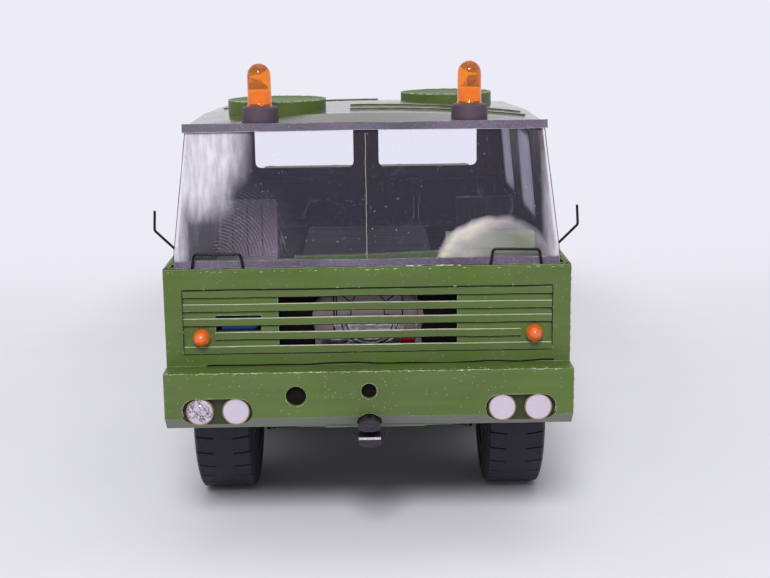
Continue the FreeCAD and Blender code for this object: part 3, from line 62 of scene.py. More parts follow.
MM = 0.001
SHARP_ANGLE = radians(38)
FRONT_Y = -137.5  # front of the cab, from which the lengths along it run
BELT = 57.8  # height at which the cab's walls begin to lean in
SCREEN_HALF = 36.7  # half the width of the windscreen film at the belt
DOOR_HALF = 39.0  # half the cab's width over its doors
FILTER_Y = FRONT_Y + 106  # where the air cleaner and the silencer stand
AXLES = (1, 2, 3, 4)
SIDES = {"left": 1, "right": -1}

# Names of the paints and materials
GREEN = "green enamel brushed on card"
BUMPER_GREEN = "green enamel brushed on card and rubbed to a shine"
GREEN_DARK_INSIDE = "green enamel outside, black paper lining inside"
ROOF_GREEN = "green enamel brushed thick and glossy"
SLAT_GREEN = "green card strip with a bare cut upper edge"
BLACK = "black enamel brushed on card"
TYRE = "black card rings glued and rubbed matt"
STRIP = "dark paper strip with a dry grain"
CRINKLED = "kitchen foil crinkled by hand"
MATT_FOIL = "matt side of kitchen foil pressed flat"
SILVER = "kitchen foil crumpled over card"
AMBER = "amber resin moulded clear"
AMBER_CORE = "pale resin core of the lamp"
AMBER_DOME = "amber resin drop, cloudy"
FILM = "clear acetate film cut by hand"
WIRE = "steel wire bent and darkened"
STEEL = "steel filed and blackened"
ENGINE = "grey watercolour on card"
INK_AND_SHADE = "dark ink line"
SEAT = "grey-brown paper laid over card"
BLUE = "blue enamel on card"
RED = "red enamel on card"
BARE_CARD_AND_HIGHLIGHT = "bare cut paper edge"
DARK_INSIDE = "black sugar paper glued in the cab"
RIM = "brown unpainted card edge"
DIAL = "printed paper dial"
HEADLAMP_HOLLOW_SHADE = "dark green enamel thinned with black"
COLLAR = "plum paper rolled into rings"
DASH_GREEN_LIT = "green enamel, thin coat"
SIDE_FILM = "clear acetate film with a little dust"
CLOTH = "pale pressed cloth"


def rgba(code):
    """Linear colour of a six-digit sRGB hex code."""
    def linear(share):
        return share / 12.92 if share <= 0.04045 else ((share + 0.055) / 1.055) ** 2.4

    return tuple(linear(int(code[k : k + 2], 16) / 255) for k in (0, 2, 4)) + (1.0,)


def put(tree, kind, inputs=(), out=0, **settings):
    """Adds a node, sets its properties, fills its inputs with values or links, and gives one output or all."""
    node = tree.nodes.new(kind if "Node" in kind else "ShaderNode" + kind)
    for name, value in settings.items():
        setattr(node, name, value)
    for socket, value in inputs.items() if isinstance(inputs, dict) else enumerate(inputs):
        if isinstance(value, bpy.types.NodeSocket):
            tree.links.new(value, node.inputs[socket])
        else:
            node.inputs[socket].default_value = value
    return node.outputs if out is None else node.outputs[out] if node.outputs else None


def colour_property(name, code, description):
    return bpy.props.FloatVectorProperty(
        name=name, description=description, subtype="COLOR", size=4, min=0, max=1, default=rgba(code)
    )


def length_property(name, default, description):
    return bpy.props.FloatProperty(name=name, description=description, default=default * MM, unit="LENGTH")


def angle_property(name, degrees, description):
    return bpy.props.FloatProperty(name=name, description=description, default=radians(degrees), subtype="ANGLE")


def share_property(name, default, description):
    return bpy.props.FloatProperty(name=name, description=description, default=default, subtype="FACTOR")


class TruckPaint(bpy.types.PropertyGroup):
    """Colours of the paints and papers."""

    green: colour_property("Green", "536632", "Enamel on the cab, bumper and bed")
    roof: colour_property("Roof green", "4d5233", "Thicker enamel on the roof")
    black: colour_property("Black", "24222c", "Enamel on the chassis")
    near_black_inside: colour_property("Dark inside", "15121f", "Near-black colour inside the cab")
    tyre: colour_property("Tyre", "24222f", "Card of the tyres")
    strip: colour_property("Strip", "564b60", "Paper strips round the windscreen")
    engine: colour_property("Engine", "a18f92", "Card of the engine")
    seat: colour_property("Seat", "a391a0", "Paper over the seats")
    blue: colour_property("Blue", "3568b4", "Reservoir behind the grille")
    red: colour_property("Red", "bf2422", "Tag on the engine and the rear lamps")
    paper: colour_property("Bare card", "cfd2ba", "Card where the paint ends or has chipped off")
    wear: length_property("Edge wear", 0.22, "Width of the chipped edges")


class TruckLamps(bpy.types.PropertyGroup):
    """Colours and sizes of the lamps."""

    amber: colour_property("Amber", "ef8a16", "Resin of the beacons and indicators")
    core: colour_property("Core", "eab41c", "Pale core inside a beacon")
    foil: colour_property("Foil", "d3c9d5", "Foil of the headlamp discs")
    silver: colour_property("Silver", "dcd6de", "Foil on the engine")
    crinkle: length_property("Crinkle", 0.16, "Height of the creases in the crinkled headlamp")


class TruckWheels(bpy.types.PropertyGroup):
    """Sizes of the tyres and wheel discs."""

    groove_pitch: length_property("Groove pitch", 3.9, "Distance between two tread grooves")
    groove_width: length_property("Groove width", 0.42, "Width of a tread groove")
    groove_depth: length_property("Groove depth", 0.4, "Depth of a tread groove")
    groove_lead: length_property("Groove lead", 1.0, "How far a groove runs on towards the middle")
    nuts: bpy.props.IntProperty(name="Nuts", description="Nuts on each wheel disc", default=10, min=3)
    nut_size: length_property("Nut size", 0.9, "Width of a wheel nut")


class TruckGrille(bpy.types.PropertyGroup):
    """Sizes of the grille."""

    count: bpy.props.IntProperty(name="Slats", description="Slats in the grille", default=5, min=1)
    pitch: length_property("Slat pitch", 2.76, "Distance between two slats")
    height: length_property("Slat height", 1.4, "Height of a slat")
    waver: length_property("Slat waver", 0.1, "How far a slat wanders from its line")


class TruckStage(bpy.types.PropertyGroup):
    """Camera, floor and lights."""

    distance: length_property("Camera distance", 387.7, "From the middle of the truck to the camera")
    height: length_property("Camera height", 104.8, "Height of the camera above the floor")
    aside: length_property("Camera offset", 0.5, "From the truck's middle plane to the camera")
    pitch: angle_property("Pitch", 11.83, "Downward tilt of the camera")
    yaw: angle_property("Yaw", 0.64, "Turn of the camera to its right")
    roll: angle_property("Roll", 0.76, "Clockwise lean of the camera")
    lens: bpy.props.FloatProperty(name="Lens", description="Focal length in mm on a 36 mm sensor",
                                  default=63.86)
    floor: colour_property("Floor", "f7f6ff", "Cloth under the truck")
    backdrop: colour_property("Backdrop", "edecf6", "Colour behind the truck")
    fill: share_property("Fill light", 0.36, "Even light from all round")
    key: bpy.props.FloatProperty(name="Key light", description="Power of the lamp above the camera",
                                 default=10.2, unit="POWER")


class Piece:
    """Faces of one piece, given in mm in the row frame and kept as a mesh in metres."""

    def __init__(self, *materials):
        self.mesh = bmesh.new()
        self.materials = materials

    def face(self, corners, paint):
        made = self.mesh.faces.new(corners)
        made.material_index = paint

    def skin(self, rings, paint=0, looped=False):
        """Joins rings of points. A ring of one point is a pole."""
        rows = [[self.mesh.verts.new(Vector(point) * MM) for point in ring] for ring in rings]
        pairs = list(zip(rows, rows[1:]))
        if looped:
            pairs.append((rows[-1], rows[0]))
        for low, high in pairs:
            count = max(len(low), len(high))
            for k in range(count):
                if len(low) == 1:
                    self.face((low[0], high[k], high[k - 1]), paint)
                elif len(high) == 1:
                    self.face((low[k - 1], low[k], high[0]), paint)
                else:
                    self.face((low[k - 1], low[k], high[k], high[k - 1]), paint)
        if not looped:
            for ring in (rows[0], rows[-1]):
                if len(ring) > 2:
                    self.face(ring, paint)

    def block(self, corner, other, paint=0):
        """Box between two opposite corners, given in any order."""
        (x0, x1), (y0, y1), (z0, z1) = map(sorted, zip(corner, other))
        self.skin([[(x0, y0, z), (x1, y0, z), (x1, y1, z), (x0, y1, z)] for z in (z0, z1)], paint)

    def turned(self, profile, centre, axis, sides, paint=0, looped=False):
        """Turns (along, radius) points about an axis through the centre."""
        self.skin([[on_axis(centre, axis, along, radius * cos(a), radius * sin(a))
                    for a in (turns(sides) if radius else (0.0,))] for along, radius in profile], paint, looped)

    def rod(self, points, diameter, sides, paint=0):
        """Round bar along a line of points."""
        path = [Vector(point) for point in points]
        rings = []
        side = None
        for k, point in enumerate(path):
            ahead = (path[min(k + 1, len(path) - 1)] - path[max(k - 1, 0)]).normalized()
            if side is None:
                side = ahead.orthogonal().normalized()
            side = (side - ahead * side.dot(ahead)).normalized()
            up = ahead.cross(side)
            rings.append([point + (side * cos(a) + up * sin(a)) * diameter / 2 for a in turns(sides)])
        self.skin(rings, paint)

    def plate(self, loops, low, high, axis="Y", paint=0):
        """Flat plate with an outline and holes, as loops of (a, b) points, between two depths."""
        ends = []
        for depth in (low, high):
            rows = [[self.mesh.verts.new(Vector(on_axis((0, 0, 0), axis, depth, a, b)) * MM) for a, b in loop]
                    for loop in loops]
            ends.append(rows)
            flat = [vertex for row in rows for vertex in row]
            for corners in geometry.tessellate_polygon([[(a, b, 0) for a, b in loop] for loop in loops]):
                self.face([flat[k] for k in corners], paint)
        for first, second in zip(*ends):
            for k in range(len(first)):
                self.face((first[k - 1], first[k], second[k], second[k - 1]), paint)

    def copy(self, mesh, matrix, paint=0):
        """Adds the faces of a plain mesh that is in metres."""
        corners = [self.mesh.verts.new(matrix @ vertex.co) for vertex in mesh.vertices]
        for polygon in mesh.polygons:
            self.face([corners[k] for k in polygon.vertices], paint)

    def soften(self, edges, width, steps=1):
        """Rounds edges by a width in mm."""
        bmesh.ops.bevel(self.mesh, geom=edges, offset=width * MM, offset_type="OFFSET", segments=steps,
                        profile=0.5, affect="EDGES", clamp_overlap=True)

    def plain(self, name, bevel=0.0):
        """Turns the faces into a mesh with its materials. Only a shape to be repeated is bevelled here."""
        if bevel:
            self.soften(self.mesh.edges, bevel)
        data = bpy.data.meshes.new(name)
        self.mesh.to_mesh(data)
        self.mesh.free()
        for material in self.materials:
            data.materials.append(bpy.data.materials[material])
        return data

    def finish(self, name, slot, *stands_for, body="truck", bevel=0.0, steps=1):
        """Rounds the edges a little if a bevel is given, turns the normals outward, marks the sharp edges and
        hangs it on its body.
        """
        if bevel:
            self.soften([edge for edge in self.mesh.edges
                         if len(edge.link_faces) == 2 and edge.calc_face_angle(0) > SHARP_ANGLE], bevel, steps)
        bmesh.ops.recalc_face_normals(self.mesh, faces=self.mesh.faces)
        for face in self.mesh.faces:
            face.smooth = True
        for edge in self.mesh.edges:
            edge.smooth = edge.calc_face_angle(0) < SHARP_ANGLE
        made = bpy.data.objects.new(name, self.plain(name))
        bpy.context.scene.collection.objects.link(made)
        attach(made, body)
        if stands_for:
            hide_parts(*stands_for)


def on_axis(centre, axis, along, first, second):
    """Point at a distance along an axis and two distances across it."""
    x, y, z = centre
    if axis == "X":
        return (x + along, y + first, z + second)
    if axis == "Y":
        return (x + first, y + along, z + second)
    return (x + first, y + second, z + along)


def turns(count):
    """Angles of a number of points spread evenly round a ring."""
    return [2 * pi * k / count for k in range(count)]


def disc(low, high, radius):
    """Profile of a plain disc between two distances along its axis."""
    return [(low, 0), (low, radius), (high, radius), (high, 0)]


def circle(centre, radius, sides):
    a, b = centre
    return [(a + radius * cos(t), b + radius * sin(t)) for t in turns(sides)]


def rounded(points, bend, steps=6):
    """Line of points with its corners bent round."""
    path = [Vector(point) for point in points]
    smooth = [path[0]]
    for before, corner, after in zip(path, path[1:], path[2:]):
        start = corner + (before - corner).normalized() * bend
        end = corner + (after - corner).normalized() * bend
        for k in range(steps + 1):
            t = k / steps
            smooth.append(start * (1 - t) ** 2 + corner * 2 * t * (1 - t) + end * t ** 2)
    smooth.append(path[-1])
    return smooth


def box(node):
    """Lowest and highest corner of a CAD node in mm."""
    low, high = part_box(node)
    return Vector(low) / MM, Vector(high) / MM


def waver(value, seed, size):
    """Slow wander of a hand-cut edge."""
    return noise.noise(Vector((value, seed * 7.3, seed * 1.7))) * size


def dome(radius, height):
    """Profile of a dome, from its foot at zero to its pole."""
    return [(height * sin(a), radius * cos(a)) for a in (pi / 2 * k / 8 for k in range(8))] + [(height, 0)]


def repeated(name, shape, inputs, ring=False):
    """Repeats a small mesh with geometry nodes, along a line or round a ring, and gives the plain mesh."""
    tree = bpy.data.node_groups.new(name, "GeometryNodeTree")
    tree.interface.new_socket("Geometry", in_out="INPUT", socket_type="NodeSocketGeometry")
    kinds = {int: "NodeSocketInt", float: "NodeSocketFloat", Vector: "NodeSocketVector"}
    for title, value in inputs.items():
        tree.interface.new_socket(title, in_out="INPUT", socket_type=kinds[type(value)])
    tree.interface.new_socket("Material", in_out="INPUT", socket_type="NodeSocketMaterial")
    tree.interface.new_socket("Geometry", in_out="OUTPUT", socket_type="NodeSocketGeometry")
    add = partial(put, tree)
    given = add("NodeGroupInput", out=None)
    if ring:
        line = add("GeometryNodeMeshCircle", {"Vertices": given["Count"], "Radius": given["Radius"]})
    else:
        line = add("GeometryNodeMeshLine", {"Count": given["Count"], "Offset": given["Step"]})
    turn = add("FunctionNodeRandomValue", {"Min": (-1, -1, -1), "Max": (1, 1, 1), "Seed": 7},
               data_type="FLOAT_VECTOR")
    lean = add("VectorMath", (turn, given["Lean"]), operation="MULTIPLY")
    placed = add("GeometryNodeInstanceOnPoints",
                 {"Points": line, "Instance": given["Geometry"], "Rotation": lean})
    real = add("GeometryNodeRealizeInstances", {"Geometry": placed})
    painted = add("GeometryNodeSetMaterial", {"Geometry": real, "Material": given["Material"]})
    add("NodeGroupOutput", {"Geometry": painted})
    holder = bpy.data.objects.new(name, shape)
    bpy.context.scene.collection.objects.link(holder)
    modifier = holder.modifiers.new(name, "NODES")
    modifier.node_group = tree
    for item in tree.interface.items_tree:
        if item.in_out == "INPUT" and item.name in inputs:
            modifier[item.identifier] = inputs[item.name]
        elif item.name == "Material":
            modifier[item.identifier] = shape.materials[0]
    state = bpy.context.evaluated_depsgraph_get()
    plain = bpy.data.meshes.new_from_object(holder.evaluated_get(state))
    bpy.data.objects.remove(holder)
    return plain


def along(points, share):
    """Point at a share of the way along a line of points, and the direction there."""
    path = [Vector(point) for point in points]
    place = share * (len(path) - 1)
    k = min(int(place), len(path) - 2)
    return path[k].lerp(path[k + 1], place - k), (path[k + 1] - path[k]).normalized()


def chips(piece, points, count, size, paint, seed, jitter=0.12):
    """Slivers of bare card strewn along an edge, where handling has knocked the paint off."""
    dice = random.Random(seed)
    for _ in range(count):
        middle, ahead = along(points, dice.random())
        middle = middle + Vector([dice.uniform(-jitter, jitter) for _ in range(3)])
        length, thick = size * dice.uniform(0.6, 4.0), size * dice.uniform(0.12, 0.38)
        side = ahead.orthogonal().normalized()
        up = ahead.cross(side)
        rings = [[middle - ahead * length / 2]]
        for step in (-0.22, 0.18):
            rings.append([middle + ahead * length * step + (side * cos(a) + up * sin(a)) * thick
                          * dice.uniform(0.7, 1.2) for a in turns(5)])
        piece.skin(rings + [[middle + ahead * length / 2]], paint)


def blank(name):
    """Clears a material, and gives what adds nodes to it and its coordinates on the object."""
    made = bpy.data.materials.get(name) or bpy.data.materials.new(name)
    made.use_nodes = True
    made.node_tree.nodes.clear()
    add = partial(put, made.node_tree)
    return add, add("TexCoord", out="Object")


def grain(add, place, size, stretch=(1, 1, 1), detail=3.0):
    """Noise with features of a size in mm, longer along the stretched axes."""
    spread = add("Mapping", {"Vector": place, "Scale": tuple(1 / s for s in stretch)})
    return add("TexNoise", {"Vector": spread, "Scale": 1 / (size * MM), "Detail": detail})


def edge_wear(add, place, width, reach):
    """One where an edge is chipped: close to a corner, in patches."""
    bent = add("Bevel", {"Radius": width}, samples=4)
    flat = add("NewGeometry", out="Normal")
    same = add("VectorMath", (bent, flat), out="Value", operation="DOT_PRODUCT")
    limit = add("MapRange", (grain(add, place, 2.2, detail=5), 0.35, 0.7, 0.86 - reach, 0.985))
    gap = add("Math", (limit, same), operation="SUBTRACT")
    return add("Math", (gap, 12.0), operation="MULTIPLY", use_clamp=True)


def card(name, paint, worn, width, gloss=0.5, stretch=(14, 1, 1), strokes=0.16, reach=0.2, near_black_inside=None,
         cut_top_and_highlight=None, rim=None, under=None, shine=0.35, coat=0.0, flecks=0.0, patched=False, coarse=1.6):
    """Card under brushed enamel: brush strokes and soft blots vary the colour, dust dried into it leaves pale
    flecks, fibre and strokes lift the surface a little, and bare card shows where an edge has chipped."""
    add, place = blank(name)
    stroke = grain(add, place, coarse, stretch, 4)
    blots = grain(add, place, 16)
    # real paper fibre is about 0.05 mm and would vanish, so it is drawn four times as coarse
    fibre = grain(add, place, 0.22, detail=2)
    tone = add("Math", (stroke, blots), operation="ADD")
    light = add("MapRange", (tone, 0.6, 1.4, 1 - strokes, 1 + strokes))
    patch = add("MapRange", (grain(add, place, 9, detail=4), 0.42, 0.6))
    fresh = (paint[0] * 0.92, paint[1] * 1.03, paint[2] * 0.64, 1.0) if patched else tuple(paint)
    mixed = add("Mix", {0: patch, 6: tuple(paint), 7: fresh}, out=2, data_type="RGBA")
    painted = add("Mix", {0: 1.0, 6: mixed, 7: light}, out=2, data_type="RGBA", blend_type="MULTIPLY")
    dots = add("TexVoronoi", {"Vector": place, "Scale": 1 / (0.9 * MM)}, out="Distance")
    dots = add("MapRange", (dots, 0.06, 0.13, flecks, 0.0))
    layers = [(dots, worn), (edge_wear(add, place, width, reach), worn)]
    normal = add("NewGeometry", out="Normal")
    leans = add("SeparateXYZ", (normal,), out=None)
    height = add("SeparateXYZ", (place,), out="Z")
    # faces that look up take a pale colour: partly a bare cut card edge, partly a painted highlight where light
    # falls on top
    if cut_top_and_highlight:
        bare = add("MapRange", (leans["Z"], 0.5, 0.7))
        ragged = add("MapRange", (fibre, 0.25, 0.45, 0.3, 1.0))
        layers.append((add("Math", (bare, ragged), operation="MULTIPLY"), cut_top_and_highlight))
    # inside faces below the eaves, and inside faces that look down, are painted near black
    if near_black_inside:
        tint, middle, eaves = near_black_inside
        towards = add("VectorMath", (middle, place), operation="SUBTRACT")
        facing = add("VectorMath", (normal, towards), out="Value", operation="DOT_PRODUCT")
        inside = add("Math", (facing, 0.0), operation="GREATER_THAN")
        below = add("Math", (height, eaves), operation="LESS_THAN")
        ceiling = add("Math", (leans["Z"], -0.3), operation="LESS_THAN")
        either = add("Math", (below, ceiling), operation="MAXIMUM")
        layers.append((add("Math", (inside, either), operation="MULTIPLY"), tint))
    if rim:
        tint, belt = rim
        ahead = add("Math", (leans["Y"], -0.6), operation="LESS_THAN")
        above = add("Math", (height, belt), operation="GREATER_THAN")
        layers.append((add("Math", (ahead, above), operation="MULTIPLY"), tint))
    # faces that lean down are mixed towards a pale grey: a painted reflection of the floor
    if under:
        layers.append((add("MapRange", (leans["Z"], -0.4, -0.65, 0.0, 0.4)), under))
    for share, tint in layers:
        painted = add("Mix", {0: share, 6: painted, 7: tuple(tint)}, out=2, data_type="RGBA")
    rise = add("Math", (stroke, 0.7, fibre), operation="MULTIPLY_ADD")
    lifted = add("Bump", {"Strength": 0.35, "Distance": 0.06 * MM, "Height": rise})
    rough = add("MapRange", (stroke, 0.3, 0.7, gloss - 0.08, gloss + 0.1))
    shader = add("BsdfPrincipled", {"Base Color": painted, "Roughness": rough, "Normal": lifted,
                                    "Specular IOR Level": shine, "Coat Weight": coat, "Coat Roughness": 0.14,
                                    "Coat Normal": lifted})
    add("OutputMaterial", {"Surface": shader})


def foil(name, colour, size, strength, rough, creased=0.0):
    """Kitchen foil: flat facets between sharp creases, each throwing the room back at its own angle. Dark lines
    drawn along a band of the ripple are painted shade in the creases."""
    add, place = blank(name)
    facets = add("TexVoronoi", {"Vector": place, "Scale": 1 / (size * MM)}, out="Distance",
                 feature="DISTANCE_TO_EDGE")
    ripple = grain(add, place, size * 0.8, detail=4)
    height = add("Math", (facets, ripple), operation="ADD")
    lifted = add("Bump", {"Strength": strength, "Distance": 0.2 * MM, "Height": height})
    # painted shade: dark lines along a narrow band of the ripple, as the shade in the creases
    crease = add("MapRange", (ripple, 0.46, 0.5, 0.0, creased))
    other = add("MapRange", (ripple, 0.5, 0.54, 1.0, 0.0))
    crease = add("Math", (crease, other), operation="MULTIPLY")
    tint = add("Mix", {0: crease, 6: tuple(colour), 7: rgba("3c3944")}, out=2, data_type="RGBA")
    shader = add("BsdfPrincipled", {"Base Color": tint, "Metallic": 1.0, "Roughness": rough, "Normal": lifted})
    add("OutputMaterial", {"Surface": shader})


def metal(name, colour, rough):
    """Darkened steel: file marks and uneven blacking give a broken sheen."""
    add, place = blank(name)
    marks = grain(add, place, 0.3, (6, 1, 1))
    tone = add("MapRange", (marks, 0.3, 0.7, 0.6, 1.6))
    tinted = add("Mix", {0: 1.0, 6: colour, 7: tone}, out=2, data_type="RGBA", blend_type="MULTIPLY")
    lifted = add("Bump", {"Strength": 0.3, "Distance": 0.03 * MM, "Height": marks})
    shader = add("BsdfPrincipled", {"Base Color": tinted, "Metallic": 0.7, "Roughness": rough,
                                    "Normal": lifted})
    add("OutputMaterial", {"Surface": shader})


def resin(name, colour, clear, glow, blurred=0.0):
    """Moulded resin: light runs through it, and the smooth skin keeps a small sharp highlight. Its emission is a
    painted glow, as the lamp is not lit.
    """
    add, place = blank(name)
    cloud = grain(add, place, 1.5)
    tone = add("MapRange", (cloud, 0.3, 0.7, 0.9, 1.08))
    tinted = add("Mix", {0: 1.0, 6: tuple(colour), 7: tone}, out=2, data_type="RGBA", blend_type="MULTIPLY")
    shader = add("BsdfPrincipled", {"Base Color": tinted, "Roughness": 0.03, "IOR": 1.45,
                                    "Transmission Weight": clear, "Coat Weight": blurred,
                                    "Coat Roughness": 0.33, "Coat IOR": 1.6, "Emission Color": tuple(colour),
                                    "Emission Strength": glow})
    add("OutputMaterial", {"Surface": shader})


def glare_and_arc_reflection(add, place, across, height, cloud):
    """Painted reflections on the windscreen, as two shares: a glare down both edges and a pale arc at its lower
    left.
    """
    streaks = grain(add, place, 1.2, (0.8, 1, 14), 3)
    ragged = add("MapRange", (streaks, 0.3, 0.7, 0.45, 1.0))
    line = add("Math", (height, -0.62, across), operation="MULTIPLY_ADD")
    wandering = add("Math", (cloud, 0.008, line), operation="MULTIPLY_ADD")
    broad = add("MapRange", (wandering, -0.0625, -0.0695, 0.0, 0.85))
    upper = add("MapRange", (height, 0.0635, 0.0695, 0.1, 1.0))
    side = add("MapRange", (across, -0.0215, -0.0265))
    sheen = add("Math", (broad, upper), operation="MULTIPLY")
    sheen = add("Math", (sheen, side), operation="MULTIPLY")
    outer = add("Math", (across,), operation="ABSOLUTE")
    rim = add("MapRange", (outer, 0.0336, 0.0362, 0.0, 0.66))
    glare = add("Math", (sheen, rim), operation="MAXIMUM")
    glare = add("Math", (glare, ragged), operation="MULTIPLY")
    flat = add("CombineXYZ", {"X": across, "Z": height})
    shifted = add("Mapping", {"Vector": flat, "Location": (-2.27, 0.0, -6.7), "Scale": (91.0, 1.0, 120.0)})
    round_it = add("VectorMath", (shifted,), out="Value", operation="LENGTH")
    bent = add("Math", (cloud, 0.3, round_it), operation="MULTIPLY_ADD")
    arc_in = add("MapRange", (bent, 0.84, 1.06, 0.3, 0.62))
    arc_out = add("MapRange", (bent, 1.08, 1.22, 1.0, 0.0))
    fading = add("MapRange", (across, 0.02, 0.0285, 1.0, 0.3))
    soft = add("MapRange", (grain(add, place, 2.5, (2, 1, 1)), 0.3, 0.65, 0.6, 1.0))
    mottled = add("Math", (fading, soft), operation="MULTIPLY")
    pale_arc_reflection = add("Math", (arc_in, arc_out), operation="MULTIPLY")
    pale_arc_reflection = add("Math", (pale_arc_reflection, mottled), operation="MULTIPLY")
    return glare, pale_arc_reflection


def wiped(add, place):
    """Arcs left by wiping in front of the seat: 0.1 mm apart in truth, drawn six times as coarse."""
    centred = add("Mapping", {"Vector": place, "Location": (0.0285, 0.0, -0.0572), "Scale": (1.0, 0.0, 1.0)})
    rings = add("TexWave", {"Vector": centred, "Scale": 520.0, "Distortion": 1.6, "Detail": 2.0}, out="Fac",
                wave_type="RINGS", rings_direction="SPHERICAL")
    near = add("VectorMath", (centred,), out="Value", operation="LENGTH")
    reach = add("MapRange", (near, 0.0175, 0.0085, 0.0, 0.05))
    return add("Math", (rings, reach), operation="MULTIPLY")


def film(name, wipes_and_glare, mirrored, through, bend):
    """Acetate film: it shows the cab and mirrors the room at a slant. Dust and faint scratches keep it from
    looking like clean glass. On the windscreen a glare down both edges and a pale arc are painted reflections."""
    add, place = blank(name)
    parts = add("SeparateXYZ", (place,), out=None)
    cloud = grain(add, place, 6.0, detail=4)
    coarse = add("TexVoronoi", {"Vector": place, "Scale": 1 / (1.9 * MM)}, out="Distance")
    large = add("MapRange", (coarse, 0.07, 0.04, 0.0, 0.45))
    # scratches about 0.05 mm wide, drawn three times as wide so that they can be seen
    warped = grain(add, place, 4.0, (1, 1, 7), 1)
    scratch = add("Math", (warped, 0.5), operation="SUBTRACT")
    scratch = add("Math", (scratch,), operation="ABSOLUTE")
    scratch = add("MapRange", (scratch, 0.0, 0.006, 0.09, 0.0))
    fine = add("TexVoronoi", {"Vector": place, "Scale": 1 / (0.7 * MM)}, out="Distance")
    fine = add("MapRange", (fine, 0.14, 0.07, 0.0, 0.42))
    patchy = add("MapRange", (cloud, 0.42, 0.62, 0.15, 1.0))
    fine = add("Math", (fine, patchy), operation="MULTIPLY")
    short = add("MapRange", (cloud, 0.5, 0.42))
    scratch = add("Math", (scratch, short), operation="MULTIPLY")
    dust_and_glare, dust = large, rgba("e9e5ee")
    layers = [("MAXIMUM", scratch), ("MAXIMUM", fine)]
    if wipes_and_glare:
        glare, pale_arc_reflection = glare_and_arc_reflection(add, place, parts["X"], parts["Z"], cloud)
        # the glare and the pale arc are painted reflections, drawn into the pale dust of the film
        layers += [("ADD", wiped(add, place)), ("MAXIMUM", glare), ("MAXIMUM", pale_arc_reflection)]
        # the painted arc reflection tints the dust colour cream
        dust = add("Mix", {0: pale_arc_reflection, 6: dust, 7: rgba("fff0cc")}, out=2, data_type="RGBA")
    for operation, layer in layers:
        dust_and_glare = add("Math", (dust_and_glare, layer), operation=operation)
    dust_and_glare = add("Math", (dust_and_glare, 0.012), operation="ADD", use_clamp=True)
    clear = add("BsdfTransparent", {"Color": through})
    dust_and_glare_shader = add("BsdfDiffuse", {"Color": dust})
    body = add("MixShader", (dust_and_glare, clear, dust_and_glare_shader))
    shine = add("BsdfGlossy", {"Color": mirrored, "Roughness": 0.02})
    if not wipes_and_glare:
        # seen along its face the dust fills the view and glows with the light behind it
        haze = add("BsdfTranslucent", {"Color": rgba("ded9e6")})
        shine = add("MixShader", (0.8, shine, haze))
    slant = add("Fresnel", {"IOR": bend})
    both = add("MixShader", (slant, body, shine))
    add("OutputMaterial", {"Surface": both})


